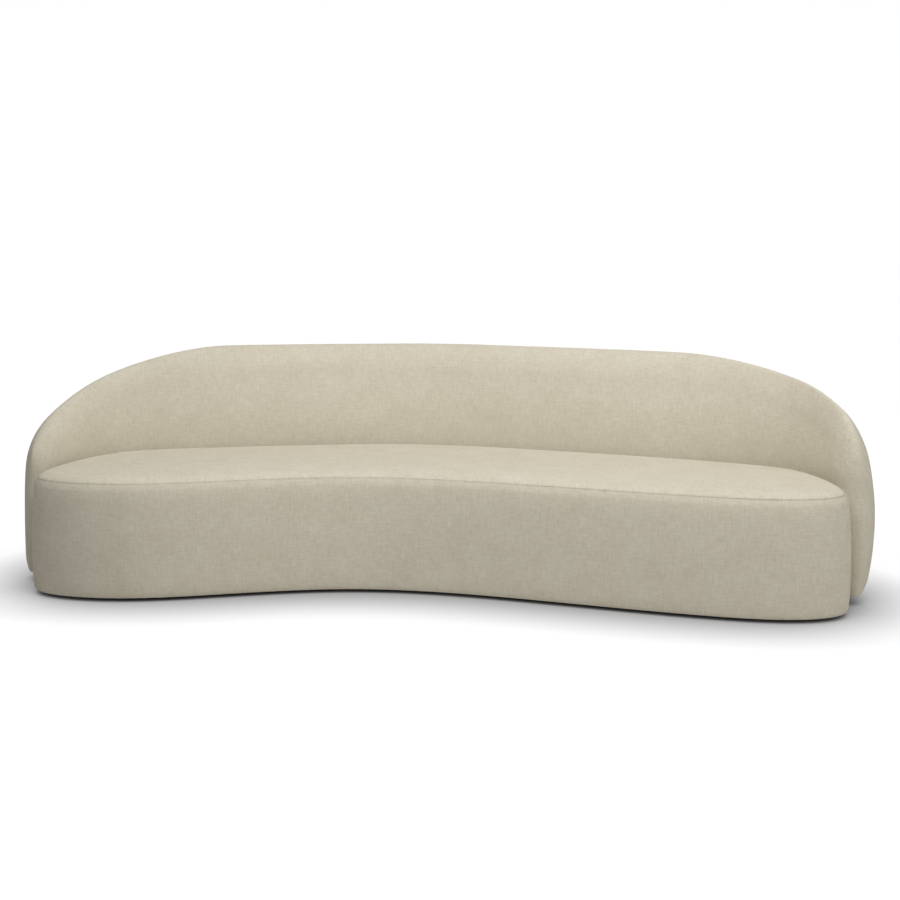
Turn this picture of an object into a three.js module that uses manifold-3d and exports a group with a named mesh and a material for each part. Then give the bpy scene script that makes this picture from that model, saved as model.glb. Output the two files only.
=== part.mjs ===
// Curved sofa: a low kidney-shaped seat block and a thick back shell wrapped round its rear and ends.
// Millimetres. +X is to the viewer's right, -Y is the front, +Z is up.
// The origin is under the middle of the whole sofa, on the floor.

import * as THREE from "three";
import { mergeVertices } from "three/addons/utils/BufferGeometryUtils.js";
import Module from "manifold-3d";

const wasm = await Module();
wasm.setup();

// Seat block, outside the cloth
const seatWidth = 2740;
const seatDepth = 880;
const floorGap = 12;
const seamHeight = 388;
const seamInset = 16;
const crownHeight = 412;

// Seat outline seen from above: control points of a closed cubic spline, as shares of half the
// width and half the depth, from the right end round the back, the left end and the front
const outlineShares = [
  [1.01, -0.6],
  [0.945, 0.105],
  [0.805, 0.395],
  [0.165, 0.915],
  [-0.135, 1.095],
  [-0.715, 0.58],
  [-0.93, 0.335],
  [-1.015, -0.625],
  [-0.985, -0.945],
  [-0.695, -1.095],
  [-0.215, -0.35],
  [0.295, -0.705],
  [0.825, -1.11],
  [1.0, -0.86],
];

// Middle line of the seat top, towards which the crown rises, in the same shares
const crownLineShares = [
  [-0.79, -0.28],
  [-0.17, 0.22],
  [0.5, -0.12],
  [0.79, -0.4],
];

// Side of the seat from hem to seam: share of the seam inset, share of the height
const bandShares = [
  [1.1, 0],
  [0.6, 0.025],
  [0.2, 0.18],
  [0, 0.5],
  [0.2, 0.82],
  [0.52, 0.945],
  [1, 1],
];

// Top of the seat from seam to crown: share of the way in, share of the rise
const crownShares = [
  [0.05, 0.6],
  [0.12, 0.84],
  [0.35, 0.96],
  [0.75, 1],
];

// Back shell, outside the cloth
const backHeight = 772;
const backFloorGap = 32;
const backToSeatGap = 1;
const tipSetback = 79;
const noseRadius = 88;
const middleThickness = 192;
const fullestHeight = 290;
const middleBulgeShare = 0.417;
const leanStart = 385;
const leanCurve = 1.2;
const middleLean = 63;
const swellRun = 900;
const rollRadius = 108;
const rollFoamDepth = 62;
const outerHemWidth = 32;
const innerHemWidth = 8;
const hemHeight = 60;
const closedHemShare = 0.5;
const openHemShare = 0.3;

// Each end of the back. Its top line has the height at the tip, a quick rise over the nose, then a long rise to the
// middle. Its section has its own thickness, lean, and bulge above and below the fullest height.
const rightEnd = {
  tipHeight: 428,
  noseRise: 172,
  noseRun: 98,
  longRun: 756,
  thickness: 136,
  lean: 13.5,
  bulgeShare: 1.2,
  lowBulgeShare: 1.03,
};
const leftEnd = {
  tipHeight: 426,
  noseRise: 86,
  noseRun: 126,
  longRun: 782,
  thickness: 121,
  lean: 14,
  bulgeShare: 0.8,
  lowBulgeShare: 0.25,
};

// Cloth, foam and clearances
const fit = 0.3;
const cloth = 2;
const dustCloth = 1;
const hemReturn = 45;
const sidePad = 30;
const backOuterPad = 20;
const endOuterPad = 12;
const backLowPad = 10;
const backPad = 42;
const endPad = 20;
const padGrowStart = 250;
const padGrowEnd = 420;

// Seat frame
const ply = 18;
const sidePanel = 4;
const ringWidth = 96;
const deckTop = 300;
const postSide = 45;
const dividerDip = 70;
const dividerDipMargin = 30;
const strapWidth = 60;
const strapPitch = 210;
const strapThickness = 2;
const strapOverlap = 60;
const longStrapShares = [-0.24, 0.04];

// Glides
const glideCount = 8;
const glideDiameter = 50;
const glideBevel = 2;
const glideMargin = 12;
const glideStartShare = 0.04;
const nailDiameter = 5;
const nailLength = 14;

// Back frame
const board = 3;
const ribCount = 9;
const ribThickness = 24;
const beltWidth = 28;
const beltDrop = 64;
const beltClearance = 2;
const bottomRailInset = 10;
const topRail = 18;

// Bolts that hold the back to the seat
const boltBelowDeck = 52;
const boltDiameter = 8;
const boltHeadWidth = 15;
const boltHeadHeight = 5.5;
const nutDiameter = 15;
const nutLength = 22;
const nutDepth = 32;
const boltPastNut = 5;

// Facets
const curveSteps = 600;
const backSteps = 20;
const frontSteps = 20;
const backCrowding = 0.6;
const frontCrowding = 0.7;
const noseStationShares = [0, 0.05, 0.2, 0.5, 1];
const sideShares = [0.35, 0.6, 0.82, 1];
const rollShares = [0.55, 0.88];
const cornerAngles = [0, Math.PI / 4, Math.PI / 2];
const roundSides = 8;
const headSides = 6;
const dipFacets = 6;
const glideSides = 10;
const overrun = 20;
const clearShare = 0.97;
const weld = 1e-4;
const flatRise = 0.5;

const finishes = {
  linen: { color: 0xc9c0aa, roughness: 0.92, metalness: 0 },
  dust: { color: 0x2a2a2a, roughness: 0.95, metalness: 0 },
  foam: { color: 0xe8dfb8, roughness: 0.9, metalness: 0 },
  plywood: { color: 0xc79f6b, roughness: 0.7, metalness: 0 },
  board: { color: 0x8a6a48, roughness: 0.85, metalness: 0 },
  strap: { color: 0x3c3a38, roughness: 0.9, metalness: 0 },
  nylon: { color: 0x161616, roughness: 0.5, metalness: 0 },
  steel: { color: 0xa8abae, roughness: 0.4, metalness: 1 },
};

const clamp = (value, low, high) => Math.min(Math.max(value, low), high);
const mix = (from, to, share) => from + (to - from) * share;
const ease = (share) => share * share * (3 - 2 * share);
const roundedShare = (share) => Math.sqrt(Math.max(0, 1 - (1 - clamp(share, 0, 1)) ** 2));

// The seat's outline at its widest height: a closed uniform cubic spline, scaled to the seat's size.
class SeatOutline extends THREE.Curve {
  constructor(shares, width, depth) {
    super();
    this.arcLengthDivisions = curveSteps;
    this.shares = shares;
    this.size = new THREE.Vector2(width, depth);
    this.middle = new THREE.Vector2(0, 0);
    this.scale = new THREE.Vector2(1, 1);
    const box = new THREE.Box2();
    for (let step = 0; step < curveSteps; step++) {
      box.expandByPoint(this.getPoint(step / curveSteps));
    }
    box.getCenter(this.middle);
    this.scale.copy(this.size).divide(box.getSize(new THREE.Vector2()));
  }

  getPoint(t, target = new THREE.Vector2()) {
    const count = this.shares.length;
    const place = (t - Math.floor(t)) * count;
    const segment = Math.floor(place);
    const u = place - segment;
    const weights = [(1 - u) ** 3, 3 * u ** 3 - 6 * u ** 2 + 4, -3 * u ** 3 + 3 * u ** 2 + 3 * u + 1, u ** 3];
    target.set(0, 0);
    weights.forEach((weight, k) => {
      const [x, y] = this.shares[(segment + k + count - 1) % count];
      target.x += (weight * x) / 6;
      target.y += (weight * y) / 6;
    });
    return target.sub(this.middle).multiply(this.scale);
  }
}

const outline = new SeatOutline(outlineShares, seatWidth, seatDepth);
const outlineLength = outline.getLength();

// The point at a distance along the outline, and the direction that points straight out of the seat there.
function rimAt(distance) {
  const turns = distance / outlineLength;
  const share = turns - Math.floor(turns);
  const point = outline.getPointAt(share);
  const along = outline.getTangentAt(share);
  return { point, along, out: new THREE.Vector2(along.y, -along.x) };
}

function rimPlace(distance, offset, z) {
  const rim = rimAt(distance);
  return new THREE.Vector3(rim.point.x + rim.out.x * offset, rim.point.y + rim.out.y * offset, z);
}

// Distance along the outline of its furthest point to one side: 1 is the right, -1 is the left.
function sidemostDistance(side) {
  let best = 0;
  for (let step = 0; step < curveSteps; step++) {
    const here = (step / curveSteps) * outlineLength;
    if (side * rimAt(here).point.x > side * rimAt(best).point.x) best = here;
  }
  return best;
}

const rightTip = sidemostDistance(1) + tipSetback - outlineLength;
const leftTip = sidemostDistance(-1) - tipSetback;
const backRun = leftTip - rightTip;
const frontRun = outlineLength - backRun;

// Evenly numbered places from 0 to length, closer together at both ends.
function crowdedPlaces(length, steps, crowding) {
  return Array.from({ length: steps + 1 }, (unused, k) => {
    const turn = (2 * Math.PI * k) / steps;
    return length * (k / steps - (crowding * Math.sin(turn)) / (2 * Math.PI));
  });
}

const middlePlaces = crowdedPlaces(backRun - 2 * noseRadius, backSteps, backCrowding).map(
  (place) => place + noseRadius,
);
const noseDistances = noseStationShares.map((share) => share * noseRadius);
const backStations = [
  ...noseDistances.slice(0, -1),
  ...middlePlaces,
  ...noseDistances.slice(0, -1).reverse().map((distance) => backRun - distance),
];
const seatStations = [
  rightTip,
  ...middlePlaces.map((place) => rightTip + place),
  ...crowdedPlaces(frontRun, frontSteps, frontCrowding)
    .slice(0, -1)
    .map((place) => leftTip + place),
];

// Solids from rows of points

function solidFromGeometry(geometry) {
  const bare = geometry.clone();
  bare.deleteAttribute("normal");
  bare.deleteAttribute("uv");
  const merged = mergeVertices(bare, weld);
  const corners = merged.index.array;
  const kept = [];
  for (let k = 0; k < corners.length; k += 3) {
    const [a, b, c] = corners.slice(k, k + 3);
    if (a !== b && b !== c && c !== a) kept.push(a, b, c);
  }
  const made = (order) =>
    new wasm.Manifold(
      new wasm.Mesh({
        numProp: 3,
        vertProperties: new Float32Array(merged.attributes.position.array),
        triVerts: new Uint32Array(order),
      }),
    );
  const solid = made(kept);
  return solid.volume() > 0 ? solid : made(kept.reverse());
}

function solidFromTriangles(triangles) {
  const values = triangles.flatMap((triangle) => triangle.flatMap((point) => point.toArray()));
  const geometry = new THREE.BufferGeometry();
  geometry.setAttribute("position", new THREE.Float32BufferAttribute(values, 3));
  return solidFromGeometry(geometry);
}

// Two triangles on the corners a, b, c, d in turn, split from a to c, or else from b to d.
const quad = (a, b, c, d, splitAtA = true) =>
  splitAtA
    ? [
        [a, b, c],
        [a, c, d],
      ]
    : [
        [b, c, d],
        [b, d, a],
      ];

// Layers that lie on each other are split alike, whichever way their points run: up from one station
// to the next, or outwards where the face is level. Corners a and d are at one station, b and c at the
// next. On rings, a and b are at one station, d and c at the next.
function stationQuad(a, b, c, d) {
  const rise = c.z + d.z - a.z - b.z;
  const outward = d.distanceTo(c) - a.distanceTo(b);
  return quad(a, b, c, d, Math.abs(rise) > flatRise ? rise > 0 : outward > 0);
}

const ringQuad = (a, b, c, d) => stationQuad(a, d, c, b).map((corners) => corners.reverse());

// Triangles between two closed rows of points.
function strip(rowA, rowB, split) {
  return rowA.flatMap((point, k) => {
    const next = (k + 1) % rowA.length;
    return split(point, rowB[k], rowB[next], rowA[next]);
  });
}

// Flat triangles that fill a closed row of points, given the same row in its own plane. They turn
// the way that the row runs, and points in line with their neighbours get a corner of their own.
function fill(row, flatRow) {
  if (Math.abs(THREE.ShapeUtils.area(flatRow)) < weld) return [];
  const triangles = THREE.ShapeUtils.triangulateShape(flatRow, []);
  if (THREE.ShapeUtils.isClockWise(flatRow)) triangles.forEach((corners) => corners.reverse());
  const used = new Set(triangles.flat());
  const next = (k) => (k + 1) % row.length;
  row.forEach((unused, k) => {
    if (used.has(k)) return;
    const before = (k + row.length - 1) % row.length;
    let after = next(k);
    while (!used.has(after)) after = next(after);
    const found = triangles.findIndex((corners) =>
      corners.some((corner, side) => corner === before && corners[(side + 1) % 3] === after),
    );
    const apex = triangles[found].find((corner) => corner !== before && corner !== after);
    triangles.splice(found, 1, [before, k, apex], [k, after, apex]);
    used.add(k);
  });
  return triangles.map((corners) => corners.map((k) => row[k]));
}

// A solid skinned over closed rows stacked on each other, its first and last rows filled.
function solidFromRings(rings) {
  const triangles = [];
  const last = rings.length - 1;
  for (let k = 0; k < last; k++) triangles.push(...strip(rings[k], rings[k + 1], ringQuad));
  const flat = (ring) => ring.map((point) => new THREE.Vector2(point.x, point.y));
  triangles.push(...fill(rings[0], flat(rings[0])));
  triangles.push(...fill(rings[last], flat(rings[last])).map((corners) => corners.reverse()));
  return solidFromTriangles(triangles);
}

// A solid swept through closed sections. Each section has its points and their flat places.
function solidFromSections(sections, loop) {
  const triangles = [];
  const last = sections.length - 1;
  for (let k = 0; k < last; k++) {
    triangles.push(...strip(sections[k].row, sections[k + 1].row, stationQuad));
  }
  if (loop) {
    triangles.push(...strip(sections[last].row, sections[0].row, stationQuad));
  } else {
    triangles.push(...fill(sections[0].row, sections[0].flat));
    triangles.push(...fill(sections[last].row, sections[last].flat).map((corners) => corners.reverse()));
  }
  return solidFromTriangles(triangles);
}

// A sheet of cloth: the outer and inner faces of the wanted cells, joined along every free edge.
function sheetSolid(outer, inner, wanted) {
  const keyOf = (point) => point.toArray().map((value) => Math.round(value / weld)).join();
  const edges = new Map();
  const triangles = [];
  for (let i = 0; i < outer.length - 1; i++) {
    for (let j = 0; j < outer[i].length - 1; j++) {
      if (!wanted(i, j)) continue;
      const cells = [
        [i, j],
        [i + 1, j],
        [i + 1, j + 1],
        [i, j + 1],
      ];
      const outside = cells.map(([a, b]) => outer[a][b]);
      const inside = cells.map(([a, b]) => inner[a][b]);
      triangles.push(...stationQuad(...outside));
      triangles.push(...stationQuad(...inside).map((corners) => corners.reverse()));
      outside.forEach((from, k) => {
        const to = outside[(k + 1) % outside.length];
        const fromKey = keyOf(from);
        const toKey = keyOf(to);
        if (fromKey === toKey) return;
        if (edges.has(toKey + "/" + fromKey)) {
          edges.delete(toKey + "/" + fromKey);
        } else {
          edges.set(fromKey + "/" + toKey, [from, to, inside[(k + 1) % inside.length], inside[k]]);
        }
      });
    }
  }
  edges.forEach(([from, to, toInside, fromInside]) => {
    triangles.push(...quad(to, from, fromInside, toInside));
  });
  return solidFromTriangles(triangles);
}

function box(sizeX, sizeY, sizeZ, matrix) {
  return solidFromGeometry(new THREE.BoxGeometry(sizeX, sizeY, sizeZ).applyMatrix4(matrix));
}

// Frame of a piece set square to the outline: local x points out of the seat, y runs along, z is up.
function rimMatrix(distance, offset, z) {
  const rim = rimAt(distance);
  const place = rimPlace(distance, offset, z);
  const out = new THREE.Vector3(rim.out.x, rim.out.y, 0);
  const along = new THREE.Vector3(rim.along.x, rim.along.y, 0);
  return new THREE.Matrix4().makeBasis(out, along, new THREE.Vector3(0, 0, 1)).setPosition(place);
}

// Seat outline drawn in by a distance, kept clear of the loops that a tight corner would make.
function insetOutline(inset) {
  const rimPoints = outline.getSpacedPoints(curveSteps).slice(0, -1);
  return seatStations
    .map((distance) => rimPlace(distance, -inset, 0))
    .map((place) => new THREE.Vector2(place.x, place.y))
    .filter((place) => rimPoints.every((rimPoint) => rimPoint.distanceTo(place) > inset * clearShare));
}

function plate(points, holePoints, bottom, top) {
  const shape = new THREE.Shape(points);
  if (holePoints) shape.holes.push(new THREE.Path(holePoints));
  const geometry = new THREE.ExtrudeGeometry(shape, { depth: top - bottom, bevelEnabled: false });
  return solidFromGeometry(geometry.translate(0, 0, bottom));
}

// Seat profile

const seamRise = seamHeight - floorGap;
const crownLine = new THREE.SplineCurve(
  crownLineShares.map(([x, y]) => new THREE.Vector2((x * seatWidth) / 2, (y * seatDepth) / 2)),
);
const crownPoints = crownLine.getPoints(curveSteps);

// One upright cut through the seat at a station: where it starts and which way it runs in.
function seatCut(distance) {
  const rim = rimAt(distance);
  const seam = rim.point.clone().addScaledVector(rim.out, -seamInset);
  const goal = crownPoints.reduce((best, point) =>
    point.distanceTo(seam) < best.distanceTo(seam) ? point : best,
  );
  const inward = goal.clone().sub(seam);
  return { rim, seam, reach: inward.length(), inward: inward.normalize() };
}

const seatCuts = seatStations.map(seatCut);

const bandLine = bandShares.map(([inShare, upShare]) => ({
  inset: inShare * seamInset,
  z: floorGap + upShare * seamRise,
}));

function crownLineOf(cut) {
  return crownShares.map(([inShare, upShare]) => ({
    inset: seamInset + inShare * cut.reach,
    z: mix(seamHeight, crownHeight, upShare),
  }));
}

// The direction that points out of the seat at each place of a line of insets and heights.
function lineNormals(line) {
  return line.map((here, k) => {
    const before = line[Math.max(k - 1, 0)];
    const after = line[Math.min(k + 1, line.length - 1)];
    const along = new THREE.Vector2(after.inset - before.inset, after.z - before.z).normalize();
    return { inset: -along.y, z: along.x };
  });
}

// The line sunk below the cloth's outer face by a depth.
function sunkLine(line, depth) {
  const normals = lineNormals(line);
  return line.map((here, k) => ({
    inset: here.inset - normals[k].inset * depth,
    z: here.z - normals[k].z * depth,
  }));
}

function seatPlace(cut, { inset, z }) {
  const straight = seamInset + clothInside;
  const flat = cut.rim.point.clone().addScaledVector(cut.rim.out, -Math.min(inset, straight));
  flat.addScaledVector(cut.inward, Math.max(0, inset - straight));
  return new THREE.Vector3(flat.x, flat.y, z);
}

// The whole line from hem to crown at one station, at a depth below the cloth's outer face.
// The seam is given twice, a hair apart, so that the band and the top end on either side of it.
function seatLine(cut, depth) {
  const whole = [...bandLine, ...crownLineOf(cut)];
  const sunk = sunkLine(whole, depth);
  const seam = bandLine.length - 1;
  const below = stepTowards(sunk[seam], sunk[seam - 1], fit / 2);
  const above = stepTowards(sunk[seam], sunk[seam + 1], fit / 2);
  return { band: [...sunk.slice(0, seam), below], top: [above, ...sunk.slice(seam + 1)], whole: sunk };
}

function stepTowards(from, to, length) {
  const share = length / Math.hypot(to.inset - from.inset, to.z - from.z);
  return { inset: mix(from.inset, to.inset, share), z: mix(from.z, to.z, share) };
}

function ringsOf(lines) {
  return lines[0].map((unused, k) => lines.map((line, i) => seatPlace(seatCuts[i], line[k])));
}

// Seat pieces

const clothInside = cloth + fit;
const hemTop = floorGap + cloth;
const frameBottom = hemTop + fit;
const panelOuter = sidePad + fit;
const frameInset = panelOuter + sidePanel + fit;
const seatFoamBottom = deckTop + fit + strapThickness + fit;

function seatTopCover() {
  const outerRings = ringsOf(seatCuts.map((cut) => seatLine(cut, 0).top));
  const innerRings = ringsOf(seatCuts.map((cut) => seatLine(cut, cloth).top));
  return solidFromRings([...outerRings.reverse(), ...innerRings]);
}

function seatBandCover() {
  const sections = seatCuts.map((cut) => {
    const outer = seatLine(cut, 0).band;
    const inner = seatLine(cut, cloth).band.filter((place) => place.z > hemTop + cloth);
    const hemFar = bandLine[0].inset + hemReturn;
    const hem = [
      { inset: bandLine[1].inset + cloth, z: hemTop },
      { inset: hemFar, z: hemTop },
      { inset: hemFar, z: floorGap },
    ];
    return { row: [...outer, ...inner.reverse(), ...hem].map((place) => sidePlace(cut, place)) };
  });
  return solidFromSections(sections, true);
}

// A place on the seat's side or under it, measured straight in from the outline.
function sidePlace(cut, { inset, z }) {
  return new THREE.Vector3(
    cut.rim.point.x - cut.rim.out.x * inset,
    cut.rim.point.y - cut.rim.out.y * inset,
    z,
  );
}

// The place at a height on a line of places that climbs, each with a distance and a height z.
function placeAt(line, z, distance) {
  const above = line.findIndex((place) => place.z >= z - weld);
  const [low, high] = [line[Math.max(above - 1, 0)], line[above]];
  const share = high === low ? 0 : (z - low.z) / (high.z - low.z);
  return { [distance]: mix(low[distance], high[distance], share), z };
}

function seatFoam() {
  const rings = seatCuts.map((cut) => {
    const line = seatLine(cut, clothInside).whole;
    const start = placeAt(line, seatFoamBottom, "inset");
    return [start, ...line.filter((place) => place.z > seatFoamBottom)];
  });
  return solidFromRings(ringsOf(rings));
}

function seatSideFoam() {
  const top = seatFoamBottom - fit;
  const sections = seatCuts.map((cut) => {
    const line = seatLine(cut, clothInside).band;
    const outer = [
      placeAt(line, frameBottom, "inset"),
      ...line.filter((place) => place.z > frameBottom && place.z < top),
      placeAt(line, top, "inset"),
      { inset: sidePad, z: top },
      { inset: sidePad, z: frameBottom },
    ];
    return { row: outer.map((place) => sidePlace(cut, place)) };
  });
  return solidFromSections(sections, true);
}

const frameOutline = insetOutline(frameInset);
const openingOutline = insetOutline(frameInset + ringWidth);
const insideOfPanel = plate(frameOutline, null, 0, deckTop);

function seatSidePanel() {
  return plate(insetOutline(panelOuter), insetOutline(panelOuter + sidePanel), frameBottom, deckTop);
}

const baseTop = frameBottom + ply;
const deckBottom = deckTop - ply;

const seatBaseRing = () => plate(frameOutline, openingOutline, frameBottom, baseTop);
const seatDeckRing = () => plate(frameOutline, openingOutline, deckBottom, deckTop);

function seatPost(distance) {
  const height = deckBottom - baseTop - 2 * fit;
  const matrix = rimMatrix(distance, -frameInset - postSide / 2 + fit, (deckBottom + baseTop) / 2);
  return box(postSide, postSide, height, matrix).intersect(insideOfPanel);
}

// Distance along the outline of the place on the front with a given x.
function frontDistanceAt(x) {
  let best = leftTip;
  for (let step = 0; step <= curveSteps; step++) {
    const here = leftTip + (step / curveSteps) * frontRun;
    if (Math.abs(rimAt(here).point.x - x) < Math.abs(rimAt(best).point.x - x)) best = here;
  }
  return best;
}

// A plywood divider from the front of the seat to its rear, its top edge dipped under the webbing.
function seatDivider(middleX) {
  const bottom = baseTop + fit;
  const top = deckBottom - fit;
  const stride = outlineLength / curveSteps;
  const across = outline.getSpacedPoints(curveSteps).filter((point) => Math.abs(point.x - middleX) < stride);
  const front = Math.min(...across.map((point) => point.y));
  const rear = Math.max(...across.map((point) => point.y));
  const middleY = (front + rear) / 2;
  const half = (rear - front) / 2 - frameInset - ringWidth - dividerDipMargin;
  const shape = new THREE.Shape();
  shape.moveTo(front, bottom);
  shape.lineTo(rear, bottom);
  shape.lineTo(rear, top);
  shape.lineTo(middleY + half, top);
  shape.quadraticCurveTo(middleY, top - 2 * dividerDip, middleY - half, top);
  shape.lineTo(front, top);
  const extrusion = { depth: ply, bevelEnabled: false, curveSegments: dipFacets };
  const geometry = new THREE.ExtrudeGeometry(shape, extrusion);
  const turn = new THREE.Matrix4().makeBasis(
    new THREE.Vector3(0, 1, 0),
    new THREE.Vector3(0, 0, 1),
    new THREE.Vector3(1, 0, 0),
  );
  geometry.applyMatrix4(turn).translate(middleX - ply / 2, 0, 0);
  return solidFromGeometry(geometry).intersect(insideOfPanel);
}

// Elastic straps from front to rear, with two long ones woven across them, stapled on the deck ring.
function seatWebbing() {
  const z = deckTop + fit + strapThickness / 2;
  const count = Math.floor(seatWidth / strapPitch) - 1;
  const straps = [];
  for (let k = 0; k < count; k++) {
    const x = (k - (count - 1) / 2) * strapPitch;
    const place = new THREE.Matrix4().makeTranslation(x, 0, z);
    straps.push(box(strapWidth, 2 * seatDepth, strapThickness, place));
  }
  longStrapShares.forEach((share) => {
    const place = new THREE.Matrix4().makeTranslation(0, (share * seatDepth) / 2, z);
    straps.push(box(2 * seatWidth, strapWidth, strapThickness, place));
  });
  const grid = straps.reduce((joined, next) => joined.add(next));
  const reach = insetOutline(frameInset + ringWidth - strapOverlap);
  return grid.intersect(plate(reach, null, deckTop, seatFoamBottom));
}

const hemInner = bandLine[0].inset + hemReturn;
const seatDustTop = frameBottom - fit;

function seatDustCover() {
  return plate(insetOutline(hemInner + fit), null, seatDustTop - dustCloth, seatDustTop);
}

const glideInset = hemInner + glideDiameter / 2 + glideMargin;
const glideTop = seatDustTop - dustCloth - fit;
const glidePlaces = Array.from({ length: glideCount }, (unused, k) =>
  rimPlace((glideStartShare + k / glideCount) * outlineLength, -glideInset, 0),
);

// A nylon glide turned with its nail: a bevelled disc, flat underneath, and the nail's shank on top.
function glide(place, grow) {
  const radius = glideDiameter / 2;
  const shank = nailDiameter / 2 + grow;
  const profile = [
    [0, 0],
    [radius - glideBevel, 0],
    [radius, glideBevel],
    [radius, glideTop],
    [shank, glideTop],
    [shank, frameBottom + nailLength + grow],
    [0, frameBottom + nailLength + grow],
  ].map(([x, z]) => new THREE.Vector2(x, z));
  const turned = new THREE.LatheGeometry(profile, glideSides).rotateX(Math.PI / 2);
  return solidFromGeometry(turned.translate(place.x, place.y, 0));
}

// Back profile

function backTopLine(run) {
  const lineFrom = (end, distance) => {
    const nose = end.noseRise * roundedShare(distance / end.noseRun);
    const rest = backHeight - end.tipHeight - end.noseRise;
    return end.tipHeight + nose + rest * Math.sin((Math.PI / 2) * clamp(distance / end.longRun, 0, 1));
  };
  return Math.min(lineFrom(rightEnd, run), lineFrom(leftEnd, backRun - run));
}

// How far the back has swelled from its end's size to its middle's, at a distance from its right tip.
const swellAt = (run) => ease(clamp(Math.min(run, backRun - run) / swellRun, 0, 1));

// The back's plain sizes at a distance from its right tip and a height: lean and half thickness.
function backShape(run, z) {
  const end = run < backRun / 2 ? rightEnd : leftEnd;
  const endBulge = z > fullestHeight ? end.bulgeShare : end.lowBulgeShare;
  const thickness = mix(end.thickness, middleThickness, swellAt(run));
  const bulge = mix(endBulge, middleBulgeShare, swellAt(run));
  const lean = mix(end.lean, middleLean, swellAt(run));
  const risen = clamp((z - leanStart) / (backHeight - leanStart), 0, 1);
  const fromFullest = (z - fullestHeight) / (backHeight - fullestHeight);
  const half = (thickness / 2) * (1 - bulge * fromFullest ** 2);
  return { half, face: backToSeatGap + lean * risen ** leanCurve };
}

// Offsets of the back's two faces from the seat's outline, at a depth below the cloth.
function backFaces(run, z, depth) {
  const shape = backShape(run, z);
  const tipDistance = Math.min(run, backRun - run);
  const nose = roundedShare((tipDistance - depth) / (noseRadius - depth));
  const cap = roundedShare((backTopLine(run) - depth - z) / (rollRadius - depth));
  const half = (shape.half - depth) * cap * nose;
  return { nose, middle: shape.face + shape.half, half };
}

// One side of a section from hem to just below the top, side -1 facing the seat and 1 facing away.
function backSide(run, depth, side) {
  const width = (side > 0 ? outerHemWidth : innerHemWidth) - depth;
  const height = hemHeight - depth;
  const low = backFloorGap + depth;
  const ledge = backTopLine(run) - rollFoamDepth;
  const top = backTopLine(run) - depth;
  const place = (z, drawnIn) => {
    const faces = backFaces(run, z, depth);
    return { offset: faces.middle + side * (faces.half - drawnIn * faces.nose), z };
  };
  const corner = cornerAngles.map((angle) =>
    place(low + height * (1 - Math.cos(angle)), width * (1 - Math.sin(angle))),
  );
  const flank = sideShares.map((share) => place(mix(low + height, ledge, share), 0));
  const roll = rollShares.map((share) => place(mix(ledge, top, share), 0));
  return { corner, flank, roll, crest: place(top, 0) };
}

// A distance along the back, moved in near the tips so that a deeper layer has its own tip.
function layerRun(run, depth) {
  const squeezed = (distance) => depth + distance * (1 - depth / noseRadius);
  const squeeze = (distance) => (distance < noseRadius ? squeezed(distance) : distance);
  return run < backRun / 2 ? squeeze(run) : backRun - squeeze(backRun - run);
}

const backPlace = (run, { offset, z }) => rimPlace(rightTip + run, offset, z);
const flatPlace = ({ offset, z }) => new THREE.Vector2(offset, z);

// The back's whole section, from the hem on the seat's side over the top to the hem on the far side.
// The seam on the far side is given twice, a hair apart, like the seat's.
function backLoop(station, depth) {
  const run = layerRun(station, depth);
  const near = backSide(run, depth, -1);
  const far = backSide(run, depth, 1);
  const inNose = Math.min(station, backRun - station) < noseRadius + 2 * fit;
  const hemShare = inNose ? closedHemShare : openHemShare;
  const hem = (from, to) => ({ offset: mix(from.offset, to.offset, hemShare), z: from.z });
  const farFlank = [...far.flank];
  const seam = farFlank.pop();
  const above = { offset: seam.offset, z: seam.z + fit / 2 };
  const below = { offset: seam.offset, z: seam.z - fit / 2 };
  const up = [hem(near.corner[0], far.corner[0]), ...near.corner, ...near.flank, ...near.roll, near.crest];
  const over = [...[...far.roll].reverse(), above];
  const farHem = hem(far.corner[0], near.corner[0]);
  const down = [below, ...farFlank.reverse(), ...[...far.corner].reverse(), farHem];
  const line = [...up, ...over, ...down];
  return { row: line.map((place) => backPlace(run, place)), seamIndex: up.length + over.length - 1 };
}

// Back covers: the far panel lies between the two nose seams, below the top seam.
const seamStations = [noseRadius, backRun - noseRadius];
const coverStations = backStations.flatMap((station) => {
  const onSeam = seamStations.some((seam) => Math.abs(seam - station) < fit);
  return onSeam ? [station - fit / 2, station + fit / 2] : [station];
});
const coverOuter = coverStations.map((station) => backLoop(station, 0));
const coverInner = coverStations.map((station) => backLoop(station, cloth));
const topSeam = coverOuter[0].seamIndex;
const firstSeam = noseDistances.length - 1;
const lastSeam = coverStations.length - 1 - noseDistances.length;

function backCover(wanted) {
  return sheetSolid(coverOuter.map((loop) => loop.row), coverInner.map((loop) => loop.row), wanted);
}

const inFarPanel = (i, j) => i > firstSeam && i < lastSeam && j > topSeam;
const inSeamGap = (i, j) => {
  const onNoseSeam = (i === firstSeam || i === lastSeam) && j >= topSeam;
  const onTopSeam = j === topSeam && i >= firstSeam && i <= lastSeam;
  return onNoseSeam || onTopSeam;
};
const backOuterCover = () => backCover(inFarPanel);
const backInnerCover = () => backCover((i, j) => !inFarPanel(i, j) && !inSeamGap(i, j));

// Back frame

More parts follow.
